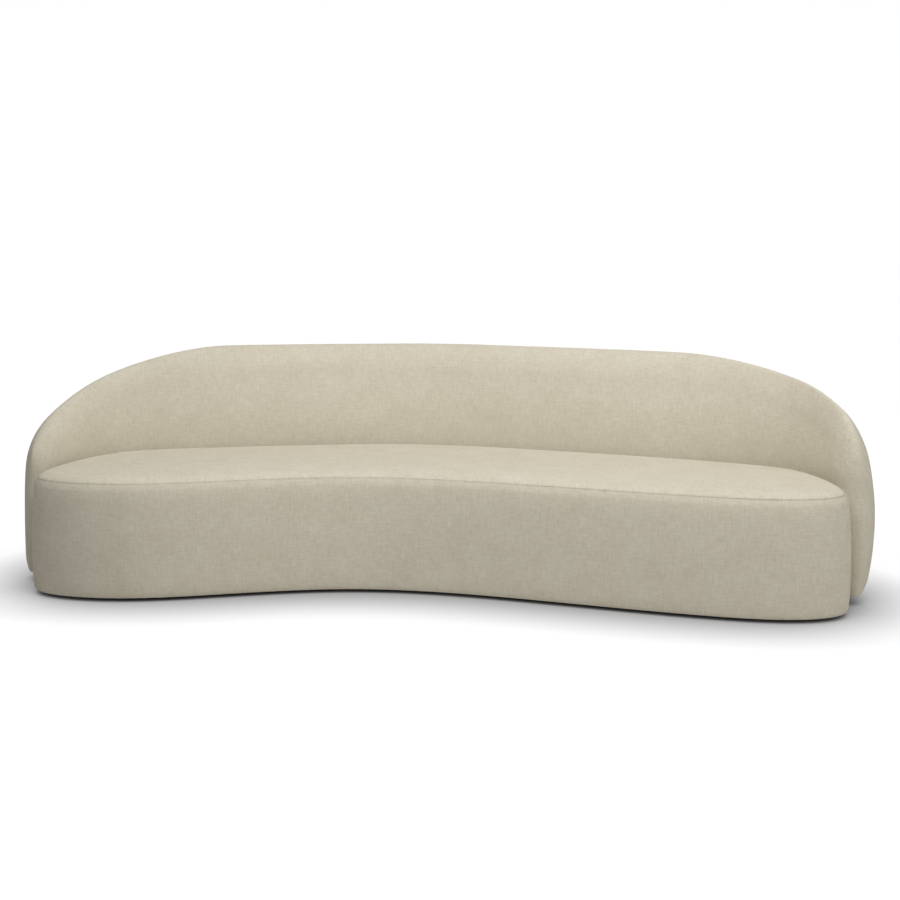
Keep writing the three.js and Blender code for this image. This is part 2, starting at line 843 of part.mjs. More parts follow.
const railBottom = backFloorGap + clothInside;
const railTop = railBottom + ply;
const frameStart = noseRadius + fit;
const frameStations = [
  frameStart,
  ...middlePlaces.filter((place) => place > frameStart + fit && place < backRun - frameStart - fit),
  backRun - frameStart,
];
const ledgeAt = (run) => backTopLine(run) - rollFoamDepth;
const innerPadAt = (run, z) => {
  const grown = clamp((z - padGrowStart) / (padGrowEnd - padGrowStart), 0, 1);
  return mix(backLowPad, mix(endPad, backPad, swellAt(run)), ease(grown));
};
const outerPadAt = (run) => mix(endOuterPad, backOuterPad, swellAt(run));
const innerBoardFace = (run, z) => backShape(run, z).face + clothInside + innerPadAt(run, z) + fit;
const outerBoardFace = (run, z) => {
  const shape = backShape(run, z);
  return shape.face + 2 * shape.half - clothInside - outerPadAt(run) - fit;
};
const innerFrameFace = (run, z) => innerBoardFace(run, z) + board + fit;
const railOuterFace = (run) => {
  const shape = backShape(run, backFloorGap);
  return shape.face + 2 * shape.half - outerHemWidth - bottomRailInset;
};

// Heights of the back's flanks at a station, shared by every layer so that they lie against each other.
function flankHeights(run) {
  const low = backFloorGap + hemHeight;
  return [low, ...sideShares.map((share) => mix(low, ledgeAt(run), share))];
}

function sweptPiece(sectionAt, stations = frameStations) {
  const sections = stations.map((run) => {
    const line = sectionAt(run);
    return { row: line.map((place) => backPlace(run, place)), flat: line.map(flatPlace) };
  });
  return solidFromSections(sections, false);
}

function innerBoardLine(run, extra) {
  const heights = [railBottom, ...flankHeights(run)];
  return heights.map((z) => ({ offset: innerBoardFace(run, z) + extra, z }));
}

function outerBoardLine(run, extra) {
  return flankHeights(run).map((z) => ({ offset: outerBoardFace(run, z) - extra, z }));
}

const backInnerBoard = () =>
  sweptPiece((run) => [...innerBoardLine(run, 0), ...innerBoardLine(run, board).reverse()]);

const backOuterBoard = () =>
  sweptPiece((run) => [...outerBoardLine(run, 0), ...outerBoardLine(run, board).reverse()]);

function backInnerFoam() {
  return sweptPiece((run) => {
    const side = backSide(run, clothInside, -1);
    return [...side.corner, ...side.flank, ...innerBoardLine(run, -fit).reverse()];
  });
}

function backOuterFoam() {
  return sweptPiece((run) => {
    const side = backSide(run, clothInside, 1);
    const rail = railOuterFace(run) + fit;
    const foot = [
      { offset: rail, z: railTop },
      { offset: rail, z: railBottom },
    ];
    return [...side.corner, ...side.flank, ...outerBoardLine(run, -fit).reverse(), ...foot];
  });
}

function backRollFoam() {
  return sweptPiece((run) => {
    const near = backSide(run, clothInside, -1);
    const far = backSide(run, clothInside, 1);
    const ledge = ledgeAt(run);
    const inner = innerBoardFace(run, ledge);
    const outer = outerBoardFace(run, ledge);
    const start = near.flank[near.flank.length - 1].offset;
    const end = far.flank[far.flank.length - 1].offset;
    const inside = [start, inner - fit, inner, inner + board, inner + board + fit];
    const outside = [outer - board - fit, outer - board, outer, outer + fit, end];
    const under = [...inside, ...outside].map((offset) => ({ offset, z: ledge + fit }));
    return [under[0], ...near.roll, near.crest, ...[...far.roll].reverse(), ...under.slice(1).reverse()];
  });
}

function backNoseFoam(stations) {
  const sections = stations.map((station) => {
    const run = layerRun(station, clothInside);
    const near = backSide(run, clothInside, -1);
    const far = backSide(run, clothInside, 1);
    const rise = [...near.corner, ...near.flank, ...near.roll, near.crest];
    const fall = [...far.corner, ...far.flank, ...far.roll].reverse();
    const line = [...rise, ...fall];
    return { row: line.map((place) => backPlace(run, place)), flat: line.map(flatPlace) };
  });
  return solidFromSections(sections, false);
}

function railLine(inside, outside, bottom, top) {
  return [
    { offset: inside, z: bottom },
    { offset: outside, z: bottom },
    { offset: outside, z: top },
    { offset: inside, z: top },
  ];
}

const backBottomRail = () =>
  sweptPiece((run) => railLine(innerFrameFace(run, railTop), railOuterFace(run), railBottom, railTop));

// A place between the boards at a height: on the inner board's back, or on the outer board's front.
const innerFramePlace = (run, z, gap = fit) => placeAt(innerBoardLine(run, board + gap), z, "offset");
const outerFramePlace = (run, z, gap = fit) => placeAt(outerBoardLine(run, board + gap), z, "offset");

const topRailTop = (run) => ledgeAt(run) - fit;
const lowestTopRail = Math.min(topRailTop(frameStart), topRailTop(backRun - frameStart)) - topRail;
const beltTop = lowestTopRail - beltDrop;
const beltBottom = beltTop - ply;

// The belt rail is level, below both ends of the top rail, and stands clear of the inner board.
function beltSection(run, grow) {
  const inside = Math.max(innerFrameFace(run, beltBottom), innerFrameFace(run, beltTop)) + beltClearance;
  return railLine(inside - grow, inside + beltWidth + grow, beltBottom - grow, beltTop + grow);
}

const backBeltRail = () => sweptPiece((run) => beltSection(run, 0));

const railGap = 3 * fit;

const backTopRail = () =>
  sweptPiece((run) => {
    const top = topRailTop(run);
    const bottom = top - topRail;
    return [
      innerFramePlace(run, bottom, railGap),
      outerFramePlace(run, bottom, railGap),
      outerFramePlace(run, top, railGap),
      innerFramePlace(run, top, railGap),
    ];
  });

// The hollow between the two boards, above the bottom rail.
function ribSpace() {
  return sweptPiece((run) => {
    const bottom = railTop + fit;
    const heights = flankHeights(run);
    return [
      innerFramePlace(run, bottom),
      ...heights.map((z) => innerFramePlace(run, z)),
      ...heights.reverse().map((z) => outerFramePlace(run, z)),
      { offset: railOuterFace(run), z: bottom },
    ];
  });
}

// All that lies below the top rail, with its clearance. Its top has the rail's own edges.
function belowTopRail() {
  return sweptPiece((run) => {
    const bottom = topRailTop(run) - topRail;
    const inside = innerFramePlace(run, bottom, railGap).offset;
    const outside = outerFramePlace(run, bottom, railGap).offset;
    const upper = [outside + overrun, outside, inside, inside - overrun];
    return [
      { offset: inside - overrun, z: 0 },
      { offset: outside + overrun, z: 0 },
      ...upper.map((offset) => ({ offset, z: bottom - fit })),
    ];
  });
}

const ribMargin = frameStart + ribThickness / 2 + fit;
const ribRuns = Array.from({ length: ribCount }, (unused, k) =>
  mix(ribMargin, backRun - ribMargin, k / (ribCount - 1)),
);
const boltRuns = ribRuns.filter((unused, k) => k % 2 === 0);

function backRibs() {
  const space = ribSpace().intersect(belowTopRail());
  const belt = sweptPiece((run) => beltSection(run, fit));
  return ribRuns.map((run) => {
    const matrix = rimMatrix(rightTip + run, 0, backHeight / 2);
    const slab = box(2 * middleThickness + overrun, ribThickness, backHeight, matrix);
    return slab.intersect(space).subtract(belt);
  });
}

function backDustCover() {
  return sweptPiece((run) => {
    const near = backSide(run, cloth, -1).corner[0];
    const far = backSide(run, cloth, 1).corner[0];
    const inside = mix(near.offset, far.offset, openHemShare) + 2 * fit;
    const outside = mix(far.offset, near.offset, openHemShare) - 2 * fit;
    return railLine(inside, outside, railBottom - fit - dustCloth, railBottom - fit);
  }, frameStations.filter((unused, k) => k > 0 && k < frameStations.length - 1));
}

// Bolts and nuts

// A round bar along the outward direction, between two offsets from the seat's outline.
function outwardBar(run, from, to, radius, z, sides) {
  const bar = new THREE.CylinderGeometry(radius, radius, to - from, sides);
  bar.rotateZ(Math.PI / 2).translate((from + to) / 2, 0, 0);
  return solidFromGeometry(bar.applyMatrix4(rimMatrix(rightTip + run, 0, z)));
}

function alongBar(run, offset, length, radius, z) {
  const bar = new THREE.CylinderGeometry(radius, radius, length, roundSides);
  return solidFromGeometry(bar.applyMatrix4(rimMatrix(rightTip + run, offset, z)));
}

const boltHeight = deckBottom - boltBelowDeck;
const headInner = -frameInset - postSide - boltHeadHeight;
const nutOffset = (run) => innerFrameFace(run, boltHeight) + nutDepth;
const boltEnd = (run) => nutOffset(run) + boltPastNut;

function backBolt(run) {
  const head = headInner + boltHeadHeight;
  const shank = outwardBar(run, headInner, boltEnd(run), boltDiameter / 2, boltHeight, roundSides);
  return shank.add(outwardBar(run, headInner, head, boltHeadWidth / 2, boltHeight, headSides));
}

const boltBore = (run) =>
  outwardBar(run, headInner - overrun, boltEnd(run) + fit, boltDiameter / 2 + fit, boltHeight, roundSides);
const nutBore = (run) =>
  alongBar(run, nutOffset(run), ribThickness + overrun, nutDiameter / 2 + fit, boltHeight);
const backNut = (run) =>
  alongBar(run, nutOffset(run), nutLength, nutDiameter / 2, boltHeight).subtract(boltBore(run));

const allBores = boltRuns.map(boltBore).reduce((joined, next) => joined.add(next));
const bored = (solid) => solid.subtract(allBores);

// Putting the pieces together

const sofa = new THREE.Group();

function addPiece(name, solid, finish) {
  const mesh = solid.getMesh();
  const geometry = new THREE.BufferGeometry();
  geometry.setAttribute("position", new THREE.BufferAttribute(mesh.vertProperties, 3));
  geometry.setIndex(new THREE.BufferAttribute(mesh.triVerts, 1));
  geometry.computeVertexNormals();
  const piece = new THREE.Mesh(geometry, new THREE.MeshStandardMaterial(finishes[finish]));
  piece.name = name;
  sofa.add(piece);
}

const nailHoles = glidePlaces.map((place) => glide(place, fit)).reduce((joined, next) => joined.add(next));

addPiece("seat_base_ring", seatBaseRing().subtract(nailHoles), "plywood");
addPiece("seat_deck_ring", seatDeckRing(), "plywood");
addPiece("seat_side_panel", bored(seatSidePanel()), "board");
addPiece("seat_webbing", seatWebbing(), "strap");
addPiece("seat_foam", seatFoam(), "foam");
addPiece("seat_side_foam", bored(seatSideFoam()), "foam");
addPiece("seat_top_cover", seatTopCover(), "linen");
addPiece("seat_band_cover", bored(seatBandCover()), "linen");
addPiece("seat_dust_cover", seatDustCover().subtract(nailHoles), "dust");
const rearPostX = boltRuns.map((run) => rimAt(rightTip + run).point.x);
boltRuns.forEach((run, k) => {
  addPiece("seat_rear_post_" + (k + 1), bored(seatPost(rightTip + run)), "plywood");
});
[rearPostX[1], rearPostX[3]].forEach((x, k) => {
  addPiece("seat_front_post_" + (k + 1), seatPost(frontDistanceAt(x)), "plywood");
});
rearPostX.slice(1).forEach((x, k) => {
  addPiece("seat_divider_" + (k + 1), seatDivider((rearPostX[k] + x) / 2), "plywood");
});
glidePlaces.forEach((place, k) => addPiece("glide_" + (k + 1), glide(place, 0), "nylon"));

addPiece("back_bottom_rail", backBottomRail(), "plywood");
addPiece("back_belt_rail", backBeltRail(), "plywood");
addPiece("back_top_rail", backTopRail(), "plywood");
const nutBores = boltRuns.map(nutBore).reduce((joined, next) => joined.add(next));
backRibs().forEach((rib, k) => addPiece("back_rib_" + (k + 1), bored(rib).subtract(nutBores), "plywood"));
addPiece("back_inner_board", bored(backInnerBoard()), "board");
addPiece("back_outer_board", backOuterBoard(), "board");
addPiece("back_inner_foam", bored(backInnerFoam()), "foam");
addPiece("back_outer_foam", backOuterFoam(), "foam");
addPiece("back_roll_foam", backRollFoam(), "foam");
const rightNose = backStations.slice(0, noseDistances.length);
const leftNose = backStations.slice(-noseDistances.length);
addPiece("back_nose_foam_right", backNoseFoam(rightNose), "foam");
addPiece("back_nose_foam_left", backNoseFoam(leftNose), "foam");
addPiece("back_inner_cover", bored(backInnerCover()), "linen");
addPiece("back_outer_cover", backOuterCover(), "linen");
addPiece("back_dust_cover", backDustCover(), "dust");
boltRuns.forEach((run, k) => {
  addPiece("back_bolt_" + (k + 1), backBolt(run), "steel");
  addPiece("back_nut_" + (k + 1), backNut(run), "steel");
});

// The sofa's own box, from the two cloth faces that reach furthest, sets the origin.
const reach = new THREE.Box3();
coverOuter.forEach((loop) => loop.row.forEach((point) => reach.expandByPoint(point)));
seatCuts.forEach((cut) => reach.expandByPoint(seatPlace(cut, { inset: 0, z: seamHeight })));
const middle = reach.getCenter(new THREE.Vector3());
sofa.position.set(-middle.x, -middle.y, 0);

const part = new THREE.Group();
part.add(sofa);

export default part;
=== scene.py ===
"""Looks of the curved sofa: its upholstery, glides, timber and studio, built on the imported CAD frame."""

import logging
import math
from dataclasses import dataclass
from enum import Enum
from functools import reduce

import bmesh
import bpy
import numpy as np
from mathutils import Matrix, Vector, noise


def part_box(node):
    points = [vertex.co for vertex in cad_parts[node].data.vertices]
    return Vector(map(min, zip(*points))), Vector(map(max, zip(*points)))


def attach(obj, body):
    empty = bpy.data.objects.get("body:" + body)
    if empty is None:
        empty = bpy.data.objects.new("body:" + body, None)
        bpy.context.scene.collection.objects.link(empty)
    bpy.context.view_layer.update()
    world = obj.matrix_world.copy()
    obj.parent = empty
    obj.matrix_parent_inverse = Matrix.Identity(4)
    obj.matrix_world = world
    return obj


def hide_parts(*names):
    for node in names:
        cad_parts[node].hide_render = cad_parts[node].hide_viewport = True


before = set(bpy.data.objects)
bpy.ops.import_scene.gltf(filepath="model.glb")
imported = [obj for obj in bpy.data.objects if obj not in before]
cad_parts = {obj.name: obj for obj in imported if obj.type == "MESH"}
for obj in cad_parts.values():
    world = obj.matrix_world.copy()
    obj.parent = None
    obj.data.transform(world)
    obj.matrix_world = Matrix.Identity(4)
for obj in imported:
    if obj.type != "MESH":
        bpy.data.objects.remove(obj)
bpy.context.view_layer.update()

log = logging.getLogger("sofa")

MERGE_WITHIN = 1e-6
QUARTER = math.pi / 2
CLOTH_MAP = "cloth"
WHITE = (1.0, 1.0, 1.0, 1.0)

Triple = tuple[float, float, float]
Pair = tuple[float, float]
Pairs = tuple[Pair, ...]
Array = np.ndarray
Piece = bpy.types.Object
Material = bpy.types.Material
Socket = bpy.types.NodeSocket


class Grain(Enum):
    """Which way the face veneer's grain runs on a plywood piece."""

    ALONG_X = (3.0, 60.0, 60.0)
    UPRIGHT = (60.0, 60.0, 3.0)


class Side(Enum):
    """One face of the back: the sitter's or the far one."""

    NEAR = -1
    FAR = 1


class Hold(Enum):
    STRETCHED = "stretched"


# Finishes


class Wiring:
    """A node tree whose nodes are added one at a time and joined as they come."""

    def __init__(self, tree: bpy.types.NodeTree) -> None:
        """Keeps the tree."""
        self.tree = tree

    def add(self, kind: str, inputs: dict | None = None, **settings) -> bpy.types.Node:
        """Adds a node.

        Args:
            kind: the node's type.
            inputs: values or sockets for its inputs, by name or number.
            settings: the node's own properties.

        Returns:
            The new node.
        """
        node = self.tree.nodes.new(kind)
        for key, value in settings.items():
            setattr(node, key, value)
        for key, value in (inputs or {}).items():
            self.feed(node, key, value)
        return node

    def feed(self, node: bpy.types.Node, key: str | int, value: object) -> None:
        """Sets one input of a node, or links a socket to it.

        Args:
            node: the node.
            key: the input's name or number.
            value: a socket, a number or a colour.
        """
        if isinstance(value, Socket):
            self.tree.links.new(value, node.inputs[key])
        elif node.inputs[key].type == "RGBA" and len(value) == 3:
            node.inputs[key].default_value = (*value, 1.0)
        else:
            node.inputs[key].default_value = value

    def math(self, operation: str, first: object, second: object = 0.0) -> Socket:
        """Adds a Math node and returns its result."""
        return self.add("ShaderNodeMath", {0: first, 1: second}, operation=operation).outputs[0]

    def seen_directly(self) -> Socket:
        """Adds nodes that are 1 on camera, glossy and transmission rays, and 0 on others.

        Returns:
            The result.
        """
        rays = self.add("ShaderNodeLightPath").outputs
        either = self.math("MAXIMUM", rays["Is Camera Ray"], rays["Is Glossy Ray"])
        return self.math("MAXIMUM", either, rays["Is Transmission Ray"])


class Recipe(Wiring):
    """A material and its patterns."""

    def __init__(self, name: str) -> None:
        """Starts a material with its Principled shader and output.

        Args:
            name: the material's name.
        """
        self.material = bpy.data.materials.new(name)
        self.material.use_nodes = True
        super().__init__(self.material.node_tree)
        self.shader = self.tree.nodes["Principled BSDF"]
        self.place = self.add("ShaderNodeTexCoord").outputs["Object"]

    def blotches(self, place: Socket, scale: Triple, detail: float = 2.0, roughness: float = 0.5) -> Socket:
        """Adds a noise pattern stretched by a scale.

        Args:
            place: the coordinates that it follows.
            scale: how many blotches fit in a metre, along each axis.
            detail: how many finer layers it has.
            roughness: how strong the finer layers are.

        Returns:
            The pattern, around one half.
        """
        stretched = self.add("ShaderNodeMapping", {"Vector": place, "Scale": scale}).outputs[0]
        inputs = {"Vector": stretched, "Scale": 1.0, "Detail": detail, "Roughness": roughness}
        return self.add("ShaderNodeTexNoise", inputs).outputs["Fac"]

    def total(self, *parts: tuple[Socket, float]) -> Socket:
        """Adds up patterns, each times its weight."""
        weighted = [self.math("MULTIPLY", pattern, weight) for pattern, weight in parts]
        return reduce(lambda summed, part: self.math("ADD", summed, part), weighted)

    def blend(self, tone: Socket, low: float, high: float, most: float, deep: object, pale: object) -> Socket:
        """Mixes a pale colour into a deep one: none where the pattern is low, most of it where it is high."""
        share = self.add("ShaderNodeMapRange", {0: tone, 1: low, 2: high, 3: 0.0, 4: most}).outputs[0]
        return self.add("ShaderNodeMix", {0: share, 6: deep, 7: pale}, data_type="RGBA").outputs[2]

    def finish(self, colour: Socket, roughness: float, height: Socket, depth: float, **plain: float) -> Material:
        """Joins the colour and the relief to the shader.

        Args:
            colour: the base colour.
            roughness: how rough the surface is.
            height: the relief's pattern.
            depth: the relief's depth in metres.
            plain: other values of the shader, with _ for the spaces in their names.

        Returns:
            The finished material.
        """
        relief = self.add("ShaderNodeBump", {"Height": height, "Distance": depth, "Strength": 1.0})
        values = {name.replace("_", " "): value for name, value in plain.items()}
        values |= {"Base Color": colour, "Roughness": roughness, "Normal": relief.outputs[0]}
        for name, value in values.items():
            self.feed(self.shader, name, value)
        return self.material


@dataclass(frozen=True)
class SlubLinen:
    """Slub linen: thick and thin yarns both ways, soft mottling and a few darker flecks."""

    name: str
    pale: Triple = (0.695, 0.648, 0.535)
    deep: Triple = (0.595, 0.540, 0.425)
    fleck: Triple = (0.44, 0.385, 0.28)
    slub: Pair = (0.0060, 0.038)
    thread: Pair = (0.0030, 0.024)
    fleck_size: Pair = (0.005, 0.014)
    speck_size: float = 0.0052
    drift: float = 0.012
    drift_size: float = 0.045
    patch_size: float = 0.016
    mottle_size: float = 0.09
    weights: tuple[float, ...] = (1.35, 0.35, 0.55, 0.5, 0.4)
    tones: Pair = (1.27, 1.88)
    fleck_tones: Pair = (0.62, 0.80)
    fleck_share: float = 0.35
    relief: float = 0.0005
    roughness: float = 0.92

    def yarns(self, recipe: Recipe, place: Socket, across: float, along: float) -> Socket:
        """Adds the thick and thin places of the yarns that run both ways.

        Args:
            recipe: the material in the making.
            place: the cloth's own coordinates, in metres.
            across: the width of a thick place.
            along: its length.

        Returns:
            The pattern, around one half.
        """
        warp = recipe.blotches(place, (1 / across, 1 / along, 1.0), 1.0)
        weft = recipe.blotches(place, (1 / along, 1 / across, 1.0), 1.0)
        return recipe.total((warp, 0.5), (weft, 0.5))

    def wandering(self, recipe: Recipe) -> Socket:
        """Adds the cloth's own coordinates, which wander a little as yarns do.

        Args:
            recipe: the material in the making.

        Returns:
            The coordinates, in metres.
        """
        straight = recipe.add("ShaderNodeUVMap", uv_map=CLOTH_MAP).outputs[0]
        inputs = {"Vector": straight, "Scale": 1 / self.drift_size, "Detail": 1.0, "Roughness": 0.5}
        place = recipe.add("ShaderNodeTexNoise", inputs).outputs["Color"]
        steps = (("SUBTRACT", {1: (0.5, 0.5, 0.5)}), ("SCALE", {3: self.drift}), ("ADD", {1: straight}))
        for operation, other in steps:
            place = recipe.add("ShaderNodeVectorMath", {0: place, **other}, operation=operation).outputs[0]
        return place

    def material(self) -> Material:
        """Makes the cloth's material.

        Returns:
            The material.
        """
        recipe = Recipe(self.name)
        place = self.wandering(recipe)
        slubs = self.yarns(recipe, place, *self.slub)
        threads = self.yarns(recipe, place, *self.thread)
        specks = recipe.blotches(place, (1 / self.speck_size, 1 / self.speck_size, 1.0), 2.0, 0.6)
        mottle = recipe.blotches(recipe.place, (1 / self.mottle_size,) * 3, 3.0)
        patches = recipe.blotches(recipe.place, (1 / self.patch_size,) * 3, 3.0, 0.6)
        flecks = recipe.blotches(place, (1 / self.fleck_size[0], 1 / self.fleck_size[1], 1.0), 1.0)
        tone = recipe.total(*zip((slubs, threads, specks, mottle, patches), self.weights))
        cloth = recipe.blend(tone, *self.tones, 1.0, self.deep, self.pale)
        flecked = recipe.blend(flecks, *self.fleck_tones, self.fleck_share, cloth, self.fleck)
        height = recipe.total((slubs, 0.6), (threads, 0.4))
        sheen = {"Sheen_Weight": 0.04, "Sheen_Roughness": 0.45, "Specular_IOR_Level": 0.25}
        return recipe.finish(flecked, self.roughness, height, self.relief, **sheen)


@dataclass(frozen=True)
class Layer:
    """One layer of grain: blotches to a metre along each axis, how many finer layers, their strength, its weight."""

    scale: Triple
    detail: float
    roughness: float = 0.5
    weight: float = 1.0


@dataclass(frozen=True)
class Grained:
    """A finish of two colours mixed by layers of grain on the piece's own coordinates; one layer gives the relief."""

    name: str
    pale: Triple
    deep: Triple
    layers: tuple[Layer, ...]
    roughness: float
    relief: float
    relief_layer: int = 0
    tones: Triple = (0.35, 0.65, 1.0)
    veneer: float = 0.0
    veneer_weight: float = 0.15
    metallic: float = 0.0

    def material(self) -> Material:
        """Makes the finish's material.

        Returns:
            The material.
        """
        recipe = Recipe(self.name)
        grains = [recipe.blotches(recipe.place, layer.scale, layer.detail, layer.roughness) for layer in self.layers]
        parts = [(grain, layer.weight) for grain, layer in zip(grains, self.layers)]
        if self.veneer:
            waves = {"Vector": recipe.place, "Scale": 1 / (20 * self.veneer), "Distortion": 0.6, "Detail": 1.0}
            edge = recipe.add("ShaderNodeTexWave", waves, bands_direction="Z").outputs["Fac"]
            parts.append((edge, self.veneer_weight))
        colour = recipe.blend(recipe.total(*parts), *self.tones, self.deep, self.pale)
        relief = grains[self.relief_layer]
        return recipe.finish(colour, self.roughness, relief, self.relief, Metallic=self.metallic)


def plain_weave(name: str, light: Triple, dark: Triple, pitch: float) -> Grained:
    """A plain woven cloth or strap in one colour."""
    layers = (Layer((1 / pitch,) * 3, 1.0, weight=0.6), Layer((9.0,) * 3, 3.0, weight=0.4))
    return Grained(name, light, dark, layers, 0.95, pitch / 5)


def plywood(name: str, grain: Grain) -> Grained:
    """Birch plywood: veneer grain on its faces and thin layers on its edges.

    Args:
        name: its name.
        grain: which way the grain runs.

    Returns:
        The finish.
    """
    pores = tuple(8 * scale for scale in grain.value)
    layers = (Layer(grain.value, 4.0, 0.6, 0.6), Layer(pores, 2.0, weight=0.25))
    colours = ((0.62, 0.44, 0.25), (0.44, 0.28, 0.13))
    return Grained(name, *colours, layers, 0.65, 0.0002, 1, (0.3, 0.7, 1.0), veneer=0.0028)


def moulded(name: str, colour: Triple, roughness: float) -> Grained:
    """Moulded nylon, faintly grained and a little scuffed.

    Args:
        name: its name.
        colour: the nylon's colour.
        roughness: how rough it is.

    Returns:
        The finish.
    """
    worn = tuple(min(1.0, channel * 2.2 + 0.01) for channel in colour)
    layers = (Layer((900.0,) * 3, 1.0, weight=0.0), Layer((60.0,) * 3, 3.0))
    return Grained(name, worn, colour, layers, roughness, 0.00005, tones=(0.45, 0.75, 0.6))


def fibreboard(name: str) -> Grained:
    """Bent hardboard: brown pressed fibres, smooth to the touch."""
    layers = (Layer((420.0,) * 3, 3.0, 0.7, 0.5), Layer((12.0,) * 3, 2.0, weight=0.5))
    return Grained(name, (0.30, 0.18, 0.09), (0.17, 0.095, 0.045), layers, 0.7, 0.0001)


def zinc(name: str) -> Grained:
    """Zinc-plated steel: a crystalline, slightly streaked grey."""
    layers = (Layer((220.0,) * 3, 2.0),)
    return Grained(name, (0.62, 0.63, 0.65), (0.42, 0.43, 0.45), layers, 0.38, 0.00003, metallic=1.0)


# Lines and surfaces


def clamped(values: Array) -> Array:
    """Keeps values between 0 and 1."""
    return np.clip(values, 0.0, 1.0)


def rounded(share: Array) -> Array:
    """A quarter circle's rise from 0 to 1 as a share goes from 0 to 1."""
    return np.sqrt(np.maximum(0.0, 1 - (1 - clamped(share)) ** 2))


def eased(share: Array) -> Array:
    """A smooth step from 0 to 1."""
    return share * share * (3 - 2 * share)


def quarter(steps: int) -> Array:
    """Angles of a quarter turn, from 0."""
    return np.linspace(0, QUARTER, steps)


def travelled(places: Array) -> Array:
    """Lengths walked from the first of many points or rows of points."""
    steps = np.linalg.norm(np.diff(places, axis=0), axis=-1)
    return np.concatenate([np.zeros_like(steps[:1]), np.cumsum(steps, axis=0)])


def joined(u: Array, start: Array, end: Array, leave: Array, arrive: Array) -> Array:
    """Points of cubic spans, at shares u of each, from their end points and slopes."""
    base = start * (2 * u**3 - 3 * u**2 + 1) + leave * (u**3 - 2 * u**2 + u)
    return base + end * (3 * u**2 - 2 * u**3) + arrive * (u**3 - u**2)


def through(points: Array, shares: Array) -> Array:
    """Finds places on a Catmull-Rom curve.

    Args:
        points: the curve's points in turn, one row each.
        shares: shares of its parameter.

    Returns:
        One row for each share.
    """
    count = len(points) - 1
    place = clamped(shares) * count
    segment = np.minimum(np.floor(place).astype(int), count - 1)
    before, after = points[np.maximum(segment - 1, 0)], points[np.minimum(segment + 2, count)]
    start, end = points[segment], points[segment + 1]
    return joined((place - segment)[:, None], start, end, (end - before) / 2, (after - start) / 2)


class FairLine:
    """A smooth line through a maker's points that never overshoots them."""

    def __init__(self, points: Array) -> None:
        """Works out the line's slopes.

        Args:
            points: the points in turn, one row each.
        """
        self.points = np.asarray(points, float)
        self.knots = travelled(self.points)
        gaps = np.diff(self.knots)[:, None]
        chords = np.diff(self.points, axis=0) / gaps
        before, after = chords[:-1], chords[1:]
        weight_a, weight_b = 2 * gaps[1:] + gaps[:-1], gaps[1:] + 2 * gaps[:-1]
        same_way = before * after > 0
        safe_before, safe_after = np.where(same_way, before, 1.0), np.where(same_way, after, 1.0)
        inner = (weight_a + weight_b) / (weight_a / safe_before + weight_b / safe_after)
        self.slopes = np.vstack([chords[:1], np.where(same_way, inner, 0.0), chords[-1:]])

    def at(self, places: Array) -> Array:
        """Finds points of the line.

        Args:
            places: distances along the chords from the first point.

        Returns:
            One row for each place.
        """
        places = np.clip(places, 0.0, self.knots[-1])
        spans = np.clip(np.searchsorted(self.knots, places, side="right") - 1, 0, len(self.knots) - 2)
        gap = (self.knots[spans + 1] - self.knots[spans])[:, None]
        u = (places[:, None] - self.knots[spans][:, None]) / gap
        leave, arrive = self.slopes[spans] * gap, self.slopes[spans + 1] * gap
        return joined(u, self.points[spans], self.points[spans + 1], leave, arrive)


@dataclass(frozen=True)
class Swelling:
    """Soft uneven swelling of hand-fitted padding: its height, how far apart its high places are, its pattern."""

    height: float
    size: float
    seed: float

    def over(self, places: Array) -> Array:
        """Finds how far each point of rows by 3 stands out."""
        points = (Vector(point) / self.size + Vector((self.seed,) * 3) for point in places.reshape(-1, 3))
        return np.array([self.height * noise.noise(point) for point in points]).reshape(places.shape[:-1])


def lip_depth(distance: Array, width: float, depth: float) -> Array:
    """How far the cloth is drawn in at a distance from a seam."""
    return depth * (1 - rounded(distance / width))


def object_from(bm: bmesh.types.BMesh, name: str) -> Piece:
    """Turns a finished bmesh into an object at the origin.

    Args:
        bm: the bmesh, which is freed.
        name: the object's name.

    Returns:
        The new object.
    """
    open_edges = sum(1 for edge in bm.edges if not edge.is_manifold)
    mesh = bpy.data.meshes.new(name)
    bm.to_mesh(mesh)
    bm.free()
    made = bpy.data.objects.new(name, mesh)
    bpy.context.scene.collection.objects.link(made)
    log.info("%s: %d faces, %d open edges", name, len(mesh.polygons), open_edges)
    return made


